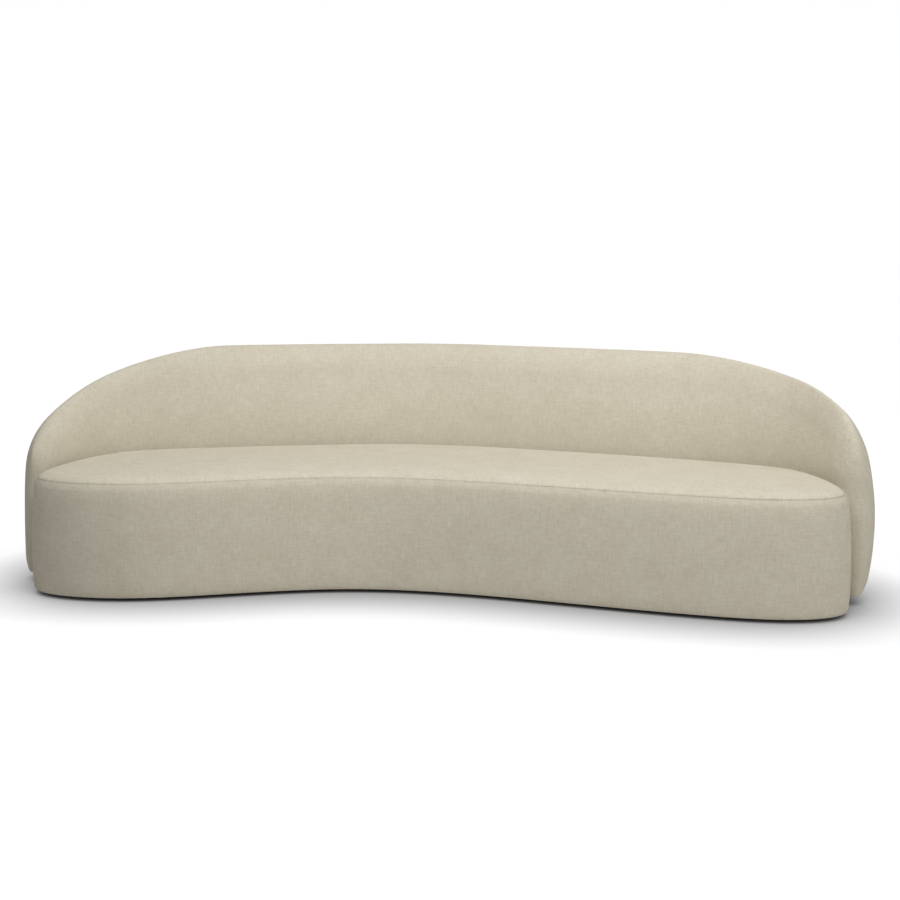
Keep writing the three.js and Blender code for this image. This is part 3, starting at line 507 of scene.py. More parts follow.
def woven_piece(name: str, places: Array, cloth_map: Array, capped: bool = False) -> Piece:
    """Makes a piece from a grid whose opposite edges may meet.

    Args:
        name: the piece's name.
        places: the vertex places, rows by columns by 3.
        cloth_map: each vertex's place on the cloth, in metres, rows by columns by 2.
        capped: whether the ends that are still open are closed with flat caps.

    Returns:
        The new object, its doubles merged and its faces turned outwards.
    """
    rows, columns = places.shape[:2]
    bm = bmesh.new()
    layer = bm.loops.layers.uv.new(CLOTH_MAP)
    bmesh.ops.create_grid(bm, x_segments=columns - 1, y_segments=rows - 1, size=1.0, calc_uvs=True)
    numbers = {}
    for vertex in bm.verts:
        column = round((vertex.co.x + 1) / 2 * (columns - 1))
        numbers[vertex] = (round((vertex.co.y + 1) / 2 * (rows - 1)), column)
    for face in bm.faces:
        face.smooth = True
        for loop in face.loops:
            loop[layer].uv = cloth_map[numbers[loop.vert]]
    for vertex, number in numbers.items():
        vertex.co = places[number]
    bmesh.ops.remove_doubles(bm, verts=bm.verts, dist=MERGE_WITHIN)
    bmesh.ops.dissolve_degenerate(bm, dist=MERGE_WITHIN, edges=bm.edges)
    if capped:
        rims = [edge for edge in bm.edges if edge.is_boundary]
        caps = bmesh.ops.holes_fill(bm, edges=rims, sides=0)["faces"]
        bmesh.ops.triangulate(bm, faces=caps, ngon_method="EAR_CLIP")
    bmesh.ops.recalc_face_normals(bm, faces=bm.faces)
    return object_from(bm, name)


def fitted(piece: Piece, material: Material, slot: str, *nodes: str) -> Piece:
    """Gives a piece its material and its place on the frame.

    Args:
        piece: the finished piece.
        material: its material.
        slot: the name of its finish; not used.
        nodes: the CAD nodes that it stands for.

    Returns:
        The same piece.
    """
    piece.data.materials.append(material)
    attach(piece, "root")
    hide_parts(*nodes)
    return piece


# The sofa's parts


@dataclass
class Rim:
    """The seat's outline seen from above, walked by distance from its right end round the back."""

    width: float = 2.740
    depth: float = 0.880
    shares: Pairs = (
        *((1.01, -0.6), (0.945, 0.105), (0.805, 0.395), (0.165, 0.915), (-0.135, 1.095)),
        *((-0.715, 0.58), (-0.93, 0.335), (-1.015, -0.625), (-0.985, -0.945), (-0.695, -1.095)),
        *((-0.215, -0.35), (0.295, -0.705), (0.825, -1.11), (1.0, -0.86)),
    )
    steps: int = 600
    glide_inset: float = 0.0996
    glide_start: float = 0.04
    glide_count: int = 8

    def __post_init__(self) -> None:
        """Fits the spline to the seat's size and to where the CAD model stands."""
        self.middle, self.scale, self.shift = np.zeros(2), np.ones(2), np.zeros(2)
        self.turned = np.arange(self.steps + 1) / self.steps
        ring = self.spline(self.turned[:-1])
        self.middle = (ring.max(0) + ring.min(0)) / 2
        self.scale = np.array([self.width, self.depth]) / np.ptp(ring, axis=0)
        self.walked = travelled(self.spline(self.turned))
        self.length = float(self.walked[-1])
        distances = (self.glide_start + np.arange(self.glide_count) / self.glide_count) * self.length
        glides = self.place(distances, -self.glide_inset, 0.0)[:, :2]
        found = [sum(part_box(f"glide_{k + 1}"), Vector()) / 2 for k in range(self.glide_count)]
        self.shift = np.mean([np.array(middle[:2]) for middle in found] - glides, axis=0)

    def spline(self, turns: Array, slope: bool = False) -> Array:
        """Finds points or slopes of the closed spline.

        Args:
            turns: shares of the spline's parameter.
            slope: whether the slope is wanted.

        Returns:
            One row of x and y for each share.
        """
        points = np.array(self.shares)
        count = len(points)
        place = (turns - np.floor(turns)) * count
        segment = np.floor(place).astype(int)
        u = place - segment
        if slope:
            weights = [-3 * (1 - u) ** 2, 9 * u**2 - 12 * u, -9 * u**2 + 6 * u + 3, 3 * u**2]
        else:
            weights = [(1 - u) ** 3, 3 * u**3 - 6 * u**2 + 4, -3 * u**3 + 3 * u**2 + 3 * u + 1, u**3]
        near = [points[(segment + k + count - 1) % count] for k in range(len(weights))]
        total = sum(weight[:, None] * point / 6 for weight, point in zip(weights, near))
        return total * self.scale if slope else (total - self.middle) * self.scale

    def turns(self, distances: Array) -> Array:
        """Spline shares of distances along the outline."""
        return np.interp(np.mod(distances, self.length), self.walked, self.turned)

    def outward(self, distances: Array) -> Array:
        """Directions that point straight out of the seat."""
        x, y = self.spline(self.turns(distances), slope=True).T
        return np.column_stack([y, -x]) / np.hypot(x, y)[:, None]

    def place(self, distances: Array, offsets: object, heights: object) -> Array:
        """Finds places beside the outline.

        Args:
            distances: how far along the outline.
            offsets: how far out of the seat.
            heights: how far above the floor.

        Returns:
            One row of x, y and z for each.
        """
        distances, offsets, heights = np.broadcast_arrays(distances, offsets, heights)
        flat = distances.ravel()
        xy = self.spline(self.turns(flat)) + self.outward(flat) * offsets.ravel()[:, None] + self.shift
        return np.column_stack([xy, heights.ravel()]).reshape(*distances.shape, 3)

    def sidemost(self, side: int) -> float:
        """Distance along the outline of its furthest point to the right (1) or left (-1)."""
        distances = self.turned[:-1] * self.length
        return float(distances[np.argmax(side * self.place(distances, 0.0, 0.0)[:, 0])])


@dataclass
class SeatBlock:
    """The seat: a crowned top panel sewn to a barrel-shaped side band."""

    rim: Rim
    cloth: Material
    floor_gap: float = 0.012
    seam_height: float = 0.388
    seam_inset: float = 0.016
    crown_rise: float = 0.024
    crown_span: float = 0.4
    foam_bottom: float = 0.3049
    band_shares: Pairs = ((1.1, 0), (0.6, 0.025), (0.2, 0.18), (0, 0.5), (0.2, 0.82), (0.52, 0.945), (1, 1))
    crown_shares: Pairs = ((0, 0), (0.02, 0.33), (0.05, 0.57), (0.12, 0.82), (0.35, 0.96), (0.75, 1), (1, 1))
    crown_line: Pairs = ((-0.79, -0.28), (-0.17, 0.22), (0.5, -0.12), (0.79, -0.4))
    crown_stops: tuple[Triple, ...] = ((0.004, 0.06, 15), (0.075, 0.4, 18))
    under_shares: tuple[float, ...] = (1.0, 0.75, 0.5, 0.25)
    side_steps: int = 5
    band_rows: tuple[int, int, int] = (8, 26, 5)
    hem_zone: float = 0.030
    zone_gap: float = 0.015
    seam_zone: float = 0.022
    lip_gap: float = 0.001
    seam_allowance: float = 0.006
    fold: float = 0.002
    hem_return: float = 0.045
    hem_middle: float = 0.010
    side_pad: float = 0.030
    pad_heights: Pair = (0.2, 0.1)
    skin: float = 0.0033
    clearance: float = 0.0003
    seam_gap: float = 0.0001
    lip_width: float = 0.0034
    lip_sink: float = 0.0018
    lip_rows: tuple[float, ...] = (0.0, 0.05, 0.16, 0.32, 0.55, 0.8, 1.0)
    lip_into: float = 0.7
    top_way: Pair = (0.9, 0.43)
    band_way: Pair = (-0.35, -0.94)
    top_swelling: Swelling = Swelling(0.0016, 0.28, 3.0)
    band_swelling: Swelling = Swelling(0.0016, 0.30, 11.0)
    rim_samples: int = 2400
    crown_samples: int = 601
    line_steps: int = 110
    cap_steps: int = 60

    def __post_init__(self) -> None:
        """Pairs each place on the rear of the rim with one on the front across the crown line."""
        corners = np.array(self.crown_line) * np.array([self.rim.width, self.rim.depth]) / 2
        shares = np.linspace(0, 1, self.crown_samples)
        crown = through(corners, shares) + self.rim.shift
        length = self.rim.length
        distances = np.linspace(0, length, self.rim_samples, endpoint=False)
        seams = self.rim.place(distances, -self.seam_inset, 0.0)[:, :2]
        nearest = np.array([shares[np.argmin(((crown - seam) ** 2).sum(1))] for seam in seams])
        left, right = distances[nearest == 0.0], distances[nearest == 1.0]
        rear = (distances >= right[right < length / 2].max()) & (distances <= left.min())
        front = (distances >= left.max()) & (distances <= right[right > length / 2].min())
        steps = np.linspace(0, 1, self.line_steps + 1)
        rear_stops = np.interp(-steps[::-1], -np.minimum.accumulate(nearest[rear]), distances[rear])
        front_stops = np.interp(steps, np.maximum.accumulate(nearest[front]), distances[front])
        left_cap = np.linspace(rear_stops[-1], front_stops[0], self.cap_steps + 1)[1:-1]
        right_cap = np.linspace(front_stops[-1], rear_stops[0] + length, self.cap_steps + 1)[1:]
        self.stops = np.concatenate([rear_stops, left_cap, front_stops, right_cap])
        goals = np.concatenate([steps[::-1], np.zeros(len(left_cap)), steps, np.ones(len(right_cap))])
        self.goals = through(corners, goals) + self.rim.shift
        self.seams = self.rim.place(self.stops, -self.seam_inset, 0.0)[:, :2]
        self.reach = np.linalg.norm(self.goals - self.seams, axis=1)
        rise = self.seam_height - self.floor_gap
        points = [(inset * self.seam_inset, self.floor_gap + height * rise) for inset, height in self.band_shares]
        self.band = FairLine(np.array(points))

    def placed(self, rows: list[Triple]) -> Array:
        """Places lines that follow the rim, or run in from it towards the crown line, at every stop.

        Args:
            rows: for each line its inset, the share of the way to the crown line added to it, and its height.

        Returns:
            Rows by stops by 3.
        """
        inset, share, height = (np.array(column, float)[:, None] for column in zip(*rows))
        insets, heights = np.broadcast_arrays(inset + share * self.reach, height)
        straight = self.skin + self.seam_inset
        start = self.rim.place(self.stops, -np.minimum(insets, straight), heights)
        share = clamped((insets - straight) / (self.reach + self.seam_inset - straight))[..., None]
        x, y = (np.broadcast_to(column, insets.shape) for column in self.goals.T)
        return start * (1 - share) + np.dstack([x, y, heights]) * share

    def lip(self, way: Pair) -> list[Pair]:
        """The rounded lip of one panel at the seam, from the bottom of the groove out to the surface.

        Args:
            way: the direction in which the panel leaves the seam, inset and height.

        Returns:
            Insets and heights in turn.
        """
        line = []
        for out in np.array(self.lip_rows) * self.lip_width:
            sunk = self.lip_into * lip_depth(out, self.lip_width, self.lip_sink)
            line.append((self.seam_inset + way[0] * out + sunk, self.seam_height + way[1] * out - sunk))
        return line

    def band_inner(self, heights: Array, depth: float) -> list[Pair]:
        """Insets at heights of the side, sunk below its surface by a depth."""
        fine = self.band.at(np.linspace(0, self.band.knots[-1], 400))
        return [(np.interp(height, fine[:, 1], fine[:, 0]) + depth, height) for height in heights]

    def top_panel(self) -> Piece:
        """Makes the crowned top with its foam down to the deck.

        Returns:
            The panel.
        """
        shares = [(share * self.crown_span, rise * self.crown_rise) for share, rise in self.crown_shares]
        fine = np.concatenate([np.linspace(first, last, int(count)) for first, last, count in self.crown_stops])
        surface = FairLine(np.array(shares)).at(fine)
        surface[-1, 0] = self.crown_span
        side_heights = np.linspace(self.foam_bottom, self.seam_height - self.seam_allowance, self.side_steps)
        side = self.band_inner(side_heights, self.skin + self.clearance)
        rows = [(self.seam_inset, share, self.foam_bottom) for share in self.under_shares]
        rows += [(inset, 0.0, height) for inset, height in [*side, *self.lip(self.top_way)]]
        rows += [(self.seam_inset, along / self.crown_span, self.seam_height + rise) for along, rise in surface]
        places = self.placed(rows)
        soft = places[-len(surface) :]
        soft[..., 2] += self.top_swelling.over(soft) * np.linspace(0, 1, len(soft))[:, None] ** 0.5
        piece = woven_piece("seat_top_upholstery", places, places[..., :2])
        return self.dressed(piece, ("seat_top_cover", "seat_foam"))

    def side_band(self) -> Piece:
        """Makes the side band with its padding and its hem turned under.

        Returns:
            The band.
        """
        ends = self.band.knots[-1]
        low_rows, flank_rows, high_rows = self.band_rows
        crowded = (
            np.linspace(0, self.hem_zone, low_rows),
            np.linspace(self.hem_zone + self.zone_gap, ends - self.hem_zone, flank_rows),
            np.linspace(ends - self.seam_zone, ends - self.lip_width - self.lip_gap, high_rows),
        )
        surface = self.band.at(np.concatenate(crowded))
        lip = np.array(self.lip(self.band_way)[::-1]) - (0.0, self.seam_gap)
        ledge = self.foam_bottom - self.clearance
        inner_heights = np.linspace(self.seam_height - self.seam_allowance, ledge, self.side_steps)
        inner_top = self.band_inner(inner_heights, self.skin)
        hem_end = self.band.points[0, 0] + self.hem_return
        folded = self.floor_gap + self.fold
        inside = [(self.side_pad, height) for height in (ledge, *self.pad_heights, folded)]
        inside += [(hem_end, folded), (hem_end, self.floor_gap), (hem_end / 2 + self.hem_middle, self.floor_gap)]
        profile = np.array([*surface, *lip, *inner_top, *inside, surface[0]])
        places = self.rim.place(self.stops, -profile[:, :1], profile[:, 1:])
        soft = places[: len(surface)]
        bulge = self.band_swelling.over(soft) * np.sin(np.linspace(0, math.pi, len(surface)))[:, None]
        soft[..., :2] += self.rim.outward(self.stops) * bulge[..., None]
        cloth_map = np.dstack(np.broadcast_arrays(self.stops, travelled(profile)[:, None]))
        piece = woven_piece("seat_band_upholstery", places, cloth_map)
        return self.dressed(piece, ("seat_band_cover", "seat_side_foam"))

    def dressed(self, piece: Piece, nodes: tuple[str, ...]) -> Piece:
        """Fits a padded piece of the seat in its cloth.

        Args:
            piece: the padded piece.
            nodes: the CAD nodes that it stands for.

        Returns:
            The same piece.
        """
        fitted(piece, self.cloth, "seat_linen", *nodes)
        return piece

    def build(self) -> list[Piece]:
        """Makes the seat's upholstery."""
        return [self.top_panel(), self.side_band()]


@dataclass(frozen=True)
class EndShape:
    """How the back's top line climbs from one tip, and how thick and upright it is there."""

    tip_height: float
    nose_rise: float
    nose_run: float
    long_run: float
    thickness: float
    bulge: float
    low_bulge: float
    lean: float


@dataclass
class BackShell:
    """The back: a thick shell round the seat's rear and ends, rolled over at the top and rounded at both noses."""

    rim: Rim
    cloth: Material
    height: float = 0.772
    floor_gap: float = 0.032
    seat_gap: float = 0.001
    tip_setback: float = 0.079
    nose_radius: float = 0.088
    thickness: float = 0.192
    bulge: float = 0.417
    lean: float = 0.063
    fullest: float = 0.290
    lean_start: float = 0.385
    lean_curve: float = 1.2
    swell_run: float = 0.900
    roll_radius: float = 0.108
    roll_depth: float = 0.062
    hem_widths: Pair = (0.008, 0.032)
    hem_height: float = 0.060
    hem_share: float = 0.3
    fold: float = 0.002
    right: EndShape = EndShape(0.428, 0.172, 0.098, 0.756, 0.136, 1.20, 1.03, 0.0135)
    left: EndShape = EndShape(0.426, 0.086, 0.126, 0.782, 0.121, 0.80, 0.25, 0.014)
    clearance: float = 0.0003
    rail_clearance: float = 0.0004
    low_pad: float = 0.010
    inner_pads: Pair = (0.020, 0.042)
    pad_grow: Pair = (0.250, 0.420)
    outer_pads: Pair = (0.012, 0.020)
    cloth_inside: float = 0.0023
    rail_bottom: float = 0.0343
    rail_inset: float = 0.010
    rail_height: float = 0.018
    lip_width: float = 0.0034
    lip_sink: float = 0.0030
    lip_room: float = 0.002
    station_pitch: float = 0.022
    belly: float = 0.009
    belly_from: float = 0.400
    swelling: Swelling = Swelling(0.0018, 0.30, 23.0)
    swelling_run: float = 0.3
    nose_steps: int = 18
    corner_rows: int = 8
    flank_rows: int = 17
    low_roll_rows: int = 5
    high_roll_rows: int = 16
    ledge_rows: int = 7
    board_rows: int = 12
    lip_stops: tuple[float, ...] = (1.0, 0.75, 0.5, 0.28, 0.12, 0.03)

    def __post_init__(self) -> None:
        """Finds where the back starts and ends on the rim, and the stops along it."""
        self.start = self.rim.sidemost(1) + self.tip_setback - self.rim.length
        self.run = self.rim.sidemost(-1) - self.tip_setback - self.start
        self.lip_steps = self.lip_width * np.array(self.lip_stops)
        edge = self.nose_radius
        curved = edge * (1 - np.cos(quarter(self.nose_steps)))
        lips = edge - self.lip_steps
        noses = np.concatenate([curved[curved < lips[0] - self.lip_room], lips])
        room = self.run - 2 * edge
        count = round(room / self.station_pitch)
        spread = edge + room * np.arange(1, count) / count
        middle = np.concatenate([edge + self.lip_steps[::-1], spread, self.run - edge - self.lip_steps])
        self.stops = np.concatenate([noses, middle, self.run - noses[::-1]])
        self.tips = np.minimum(self.stops, self.run - self.stops)
        self.in_nose = self.tips < edge
        self.top = self.top_line(self.stops)
        self.rows_below = self.corner_rows + self.flank_rows + self.low_roll_rows + len(self.lip_stops)

    def climb(self, end: EndShape, distance: Array) -> Array:
        """Height of the top line at distances from one end."""
        nose, sweep = rounded(distance / end.nose_run), np.sin(QUARTER * clamped(distance / end.long_run))
        return end.tip_height + end.nose_rise * nose + (self.height - end.tip_height - end.nose_rise) * sweep

    def top_line(self, run: Array) -> Array:
        """Height of the back's top."""
        return np.minimum(self.climb(self.right, run), self.climb(self.left, self.run - run))

    def swelled(self, run: Array) -> Array:
        """How far the back has swelled from its end's size to its middle's."""
        return eased(clamped(np.minimum(run, self.run - run) / self.swell_run))

    def mixed(self, run: Array, size: str, middle: float) -> Array:
        """A size between its end's value and its middle's, at a run."""
        end = np.where(run < self.run / 2, getattr(self.right, size), getattr(self.left, size))
        return end + (middle - end) * self.swelled(run)

    def shape(self, run: Array, z: Array) -> tuple[Array, Array]:
        """Half the thickness and the inner face's offset at a run and height.

        Args:
            run: distances from the right tip.
            z: heights.

        Returns:
            Both, at each place.
        """
        from_fullest = (z - self.fullest) / (self.height - self.fullest)
        high, low = self.mixed(run, "bulge", self.bulge), self.mixed(run, "low_bulge", self.bulge)
        half = self.mixed(run, "thickness", self.thickness) / 2
        risen = clamped((z - self.lean_start) / (self.height - self.lean_start))
        face = self.seat_gap + self.mixed(run, "lean", self.lean) * risen**self.lean_curve
        return half * (1 - np.where(from_fullest > 0, high, low) * from_fullest**2), face

    def offsets(self, z: Array, side: Side, drawn_in: object = 0.0) -> Array:
        """Offset of one face of the back from the seat's outline, at every stop.

        Args:
            z: height.
            side: which face.
            drawn_in: how far the hem's corner is drawn in.

        Returns:
            The offsets.
        """
        half, face = self.shape(self.stops, z)
        nose = rounded(self.tips / self.nose_radius)
        cap = rounded((self.top - z) / self.roll_radius)
        return face + half + side.value * (half * cap * nose - drawn_in * nose)

    def fullness(self, z: Array) -> Array:
        """How far the inner face's padding stands out between the seat and the roll, rows by stops.

        Args:
            z: heights.

        Returns:
            The distances.
        """
        room = self.top - self.roll_radius - self.belly_from
        full_room = self.height - self.roll_radius - self.belly_from
        share = clamped((z - self.belly_from) / np.maximum(room, MERGE_WITHIN))
        return self.belly * clamped(room / full_room) * np.sin(math.pi * share)

    def side_line(self, side: Side) -> tuple[Array, Array]:
        """One face from the hem to the crest.

        Args:
            side: which face.

        Returns:
            Heights and offsets, rows by stops.
        """
        angles = quarter(self.corner_rows)[:, None]
        corner_z = self.floor_gap + self.hem_height * (1 - np.cos(angles)) + 0 * self.top
        width = dict(zip(Side, self.hem_widths))[side]
        corner = self.offsets(corner_z, side, width * (1 - np.sin(angles)))
        low = self.floor_gap + self.hem_height
        shares = np.linspace(0, 1, self.flank_rows + 2)[1:-1, None]
        flank_z = low + (self.top - self.roll_radius - low) * shares
        seam_turn = math.acos(1 - self.roll_depth / self.roll_radius)
        below = np.linspace(QUARTER, seam_turn, self.low_roll_rows + 1)[:-1]
        above = np.linspace(seam_turn, 0, self.high_roll_rows + 1)[1:]
        low_drops, high_drops = (self.roll_radius * (1 - np.cos(turns)) for turns in (below, above))
        seam = self.roll_depth + np.concatenate([self.lip_steps, -self.lip_steps[::-1]])
        at_seam = seam if side is Side.FAR else [self.roll_depth]
        roll_z = self.top - np.concatenate([low_drops, at_seam, high_drops])[:, None]
        outs = np.vstack([corner, self.offsets(flank_z, side), self.offsets(roll_z, side)])
        return np.vstack([corner_z, flank_z, roll_z]), outs

    def padding(self, pads: Pair) -> Array:
        """Thickness of a face's padding at every stop, from its end's and its middle's."""
        end_pad, middle_pad = pads
        return end_pad + (middle_pad - end_pad) * self.swelled(self.stops)

    def inner_board(self, z: Array) -> Array:
        """Offset of the inner board's face, at rows of heights by stops.

        Args:
            z: heights.

        Returns:
            The offsets.
        """
        low, high = self.pad_grow
        grown = eased(clamped((z - low) / (high - low)))
        pad = self.low_pad + (self.padding(self.inner_pads) - self.low_pad) * grown
        return self.shape(self.stops, z)[1] + self.cloth_inside + pad

    def outer_board(self, z: Array) -> Array:
        """Offset of the outer board's face, at rows of heights by stops."""
        half, face = self.shape(self.stops, z)
        return face + 2 * half - self.cloth_inside - self.padding(self.outer_pads)

    def hem_edges(self) -> list[Array]:
        """Offsets of the hem's near and far edges at every stop."""
        floor = np.full_like(self.stops, self.floor_gap)
        return [self.offsets(floor, side, width) for side, width in zip(Side, self.hem_widths)]

    def surfaces(self) -> tuple[Array, int]:
        """The whole outer surface of the back, with its seams drawn in.

        Returns:
            Places rows by stops by 3, from the near hem over the top to the far hem; and the number of the
            first row below the far seam.
        """
        (near_z, near), (far_z, far) = (self.side_line(side) for side in Side)
        heights = np.vstack([near_z, far_z[:-1][::-1]])
        places = self.rim.place(self.start + self.stops, np.vstack([near, far[:-1][::-1]]), heights)
        first_below = len(heights) - self.rows_below
        rows = np.arange(len(heights))[:, None]
        panel = self.tips >= self.nose_radius - self.lip_width
        lip = (self.lip_width, self.lip_sink)
        top_lip = lip_depth(np.abs(heights - (self.top - self.roll_depth)), *lip)
        nose_lip = lip_depth(np.abs(self.tips - self.nose_radius), *lip)
        sink = np.where((rows >= first_below - len(self.lip_stops)) & panel, top_lip, 0.0)
        sink = np.maximum(sink, np.where(rows >= first_below, nose_lip, 0.0))
        normals = np.cross(np.gradient(places, axis=0), np.gradient(places, axis=1))
        normals = normals / np.maximum(np.linalg.norm(normals, axis=2, keepdims=True), 1e-12)
        row, middle = 5, len(self.stops) // 2
        outward = np.sign(normals[row, middle] @ (places[row, middle] - places[-row, middle]))
        soft = self.swelling.over(places) * rounded(self.tips / self.swelling_run) * (1 - sink / self.lip_sink)
        soft[: len(near_z)] += self.fullness(near_z)
        return places + normals * (outward * (soft - sink))[..., None], first_below

    def sewn(self, name: str, loop: Array, nodes: tuple[str, ...], panel: Array | slice = slice(None)) -> Piece:
        """Makes a padded piece of the back from a loop of rows.

        Args:
            name: the piece's name.
            loop: places, rows by stops by 3, the first row again at the end.
            nodes: the CAD nodes that it stands for.
            panel: which of the back's stops it has.

        Returns:
            The piece in its cloth.
        """
        nose = rounded(self.tips / self.nose_radius) * self.right.thickness / 2
        runs = travelled(np.column_stack([self.stops, nose]))[panel]
        piece = woven_piece(name, loop, np.dstack(np.broadcast_arrays(runs, travelled(loop))), capped=True)
        fitted(piece, self.cloth, "back_linen", *nodes)
        return piece

    def inner_half(self) -> Piece:
        """Makes the inner face, the rolled top and both noses, with their foam.

        Returns:
            The piece.
        """
        places, first_below = self.surfaces()
        far_rows = places[first_below:]
        ledge = self.top - self.roll_depth + self.clearance * 2
        far_at_ledge = self.offsets(ledge, Side.FAR) - self.lip_sink - self.clearance
        shares = np.linspace(0, 1, self.ledge_rows + 1)[1:, None]
        ledge_outs = far_at_ledge + (self.inner_board(ledge) - far_at_ledge) * shares
        near_edge, far_edge = self.hem_edges()
        hem_end = near_edge + (far_edge - near_edge) * self.hem_share
        hem_outs = np.array([hem_end, hem_end, (hem_end + near_edge) / 2])
        hem_z = np.array([[self.fold], [0.0], [0.0]]) + self.floor_gap + 0 * hem_outs
        down = np.linspace(0, 1, len(far_rows) - len(hem_outs) + 1)[1:, None]
        board_z = ledge + (self.rail_bottom - self.rail_clearance - ledge) * down
        rest_z = np.vstack([ledge + 0 * ledge_outs, board_z, hem_z])
        rest_outs = np.vstack([ledge_outs, self.inner_board(board_z), hem_outs])
        rest = self.rim.place(self.start + self.stops, rest_outs, rest_z)
        inwards = np.linspace(0, 1, len(rest) - len(far_rows) + 2)[1:-1, None]
        nose_bottom = far_edge + (near_edge - far_edge) * inwards
        nose_rest = np.vstack([far_rows, self.rim.place(self.start + self.stops, nose_bottom, self.floor_gap)])
        rest = np.where(self.in_nose[None, :, None], nose_rest, rest)
        loop = np.vstack([places[:first_below], rest, places[:1]])
        foams = ("back_inner_foam", "back_roll_foam", "back_nose_foam_right", "back_nose_foam_left")
        return self.sewn("back_inner_upholstery", loop, ("back_inner_cover", *foams))

    def outer_half(self) -> Piece:
        """Makes the far panel with its padding.

        Returns:
            The piece.
        """
        places, first_below = self.surfaces()
        panel = ~self.in_nose
        outer = places[first_below:, panel]
        low = self.floor_gap + self.hem_height
        ledge = self.top - self.roll_depth - self.clearance
        board_z = low + (ledge - low) * np.linspace(0, 1, self.board_rows)[:, None]
        half, face = self.shape(self.stops, np.full_like(self.stops, self.floor_gap))
        rail_outs = face + 2 * half - self.hem_widths[1] - self.rail_inset + 2 * self.clearance
        near_edge, far_edge = self.hem_edges()
        hem_end = far_edge + (near_edge - far_edge) * self.hem_share
        foot_outs = np.array([(far_edge + hem_end) / 2, hem_end, hem_end, rail_outs, rail_outs])
        folded, rail_top = self.floor_gap + self.fold, self.rail_bottom + self.rail_height
        foot_z = np.array([self.floor_gap, self.floor_gap, folded, folded, rail_top])[:, None] + 0 * hem_end
        rest_outs = np.vstack([foot_outs, self.outer_board(board_z) + self.clearance])[:, panel]
        rest = self.rim.place(self.start + self.stops[panel], rest_outs, np.vstack([foot_z, board_z])[:, panel])
        loop = np.vstack([outer, rest, outer[:1]])
        return self.sewn("back_outer_upholstery", loop, ("back_outer_cover", "back_outer_foam"), panel)

    def build(self) -> list[Piece]:
        """Makes the back's upholstery."""
        return [self.inner_half(), self.outer_half()]


@dataclass
class Underside:
    """The black dust sheets stapled under the seat and under the back."""

    rim: Rim
    seat: SeatBlock
    back: BackShell
    cloth: Material
    seat_inset: float = 0.0632
    seat_steps: int = 14
    back_steps: tuple[int, int] = (6, 180)
    back_margin: float = 0.0006
    sag: Swelling = Swelling(0.0006, 0.11, 41.0)
    sag_growth: float = 6.0

    def seat_sheet(self) -> Piece:
        """Makes the seat's dust sheet.

        Returns:
            The sheet.
        """
        low, high = (corner.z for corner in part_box("seat_dust_cover"))
        shares = np.linspace(0, 1, self.seat_steps)
        lines = [(self.seat_inset + share * (self.seat.seam_inset - self.seat_inset), share) for share in shares]
        places = self.seat.placed([(*line, low) for line in lines[::-1]] + [(*line, high) for line in lines])
        bottom, top = places[: len(shares)], places[len(shares) :]
        ripple = self.sag.over(top) * np.minimum(1, self.sag_growth * shares[:, None])
        top[..., 2] += ripple
        bottom[..., 2] += ripple[::-1]
        piece = woven_piece("seat_dust_sheet", places, places[..., :2])
        x, y = self.rim.place(self.seat.stops, -self.seat_inset, 0.0)[:, :2].T
        area = abs(float(np.dot(x, np.roll(y, 1)) - np.dot(y, np.roll(x, 1)))) / 2
        flat = (float(np.ptp(y)), float(np.ptp(x)))
        return self.declared(piece, "seat_dust_cover", flat, area)

    def back_sheet(self) -> Piece:
        """Makes the back's dust sheet, a long curved strip.

        Returns:
            The sheet.
        """
        low, high = (corner.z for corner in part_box("back_dust_cover"))
        back = self.back
        edge = back.nose_radius + 2 * back.station_pitch
        rows, columns = self.back_steps
        stops = np.linspace(edge, back.run - edge, columns)
        half, face = back.shape(stops, np.full_like(stops, back.floor_gap))
        near = face + back.hem_widths[0]
        far = face + 2 * half - back.hem_widths[1]
        hem = (far - near) * back.hem_share + self.back_margin
        across = near + hem + (far - near - 2 * hem) * np.linspace(0, 1, rows)[:, None]
        outs = np.vstack([across, across[::-1], across[:1]])
        heights = np.repeat([low, high, low], [rows, rows, 1])[:, None]
        places = self.rim.place(back.start + stops, outs, heights)
        piece = woven_piece("back_dust_sheet", places, places[..., :2], capped=True)
        middle = (places[rows // 2 - 1] + places[rows // 2]) / 2
        length = float(travelled(middle)[-1])
        widths = far - near - 2 * hem
        area = float(widths.mean()) * length
        return self.declared(piece, "back_dust_cover", (float(widths.max()), length), area)

    def declared(self, piece: Piece, node: str, flat: Pair, area: float) -> Piece:
        """Gives a sheet its cloth and logs how large it was cut.

        Args:
            piece: the sheet.
            node: the CAD node that it stands for.
            flat: the width and length of the rectangle that it was cut from, laid straight.
            area: its own flat area.

        Returns:
            The same piece.
        """
        fitted(piece, self.cloth, "dust_cloth", node)
        log.info("%s: cut from %.3f x %.3f m, area %.3f m2", piece.name, *flat, area)
        return piece

    def build(self) -> list[Piece]:
        """Makes both dust sheets."""
        return [self.seat_sheet(), self.back_sheet()]


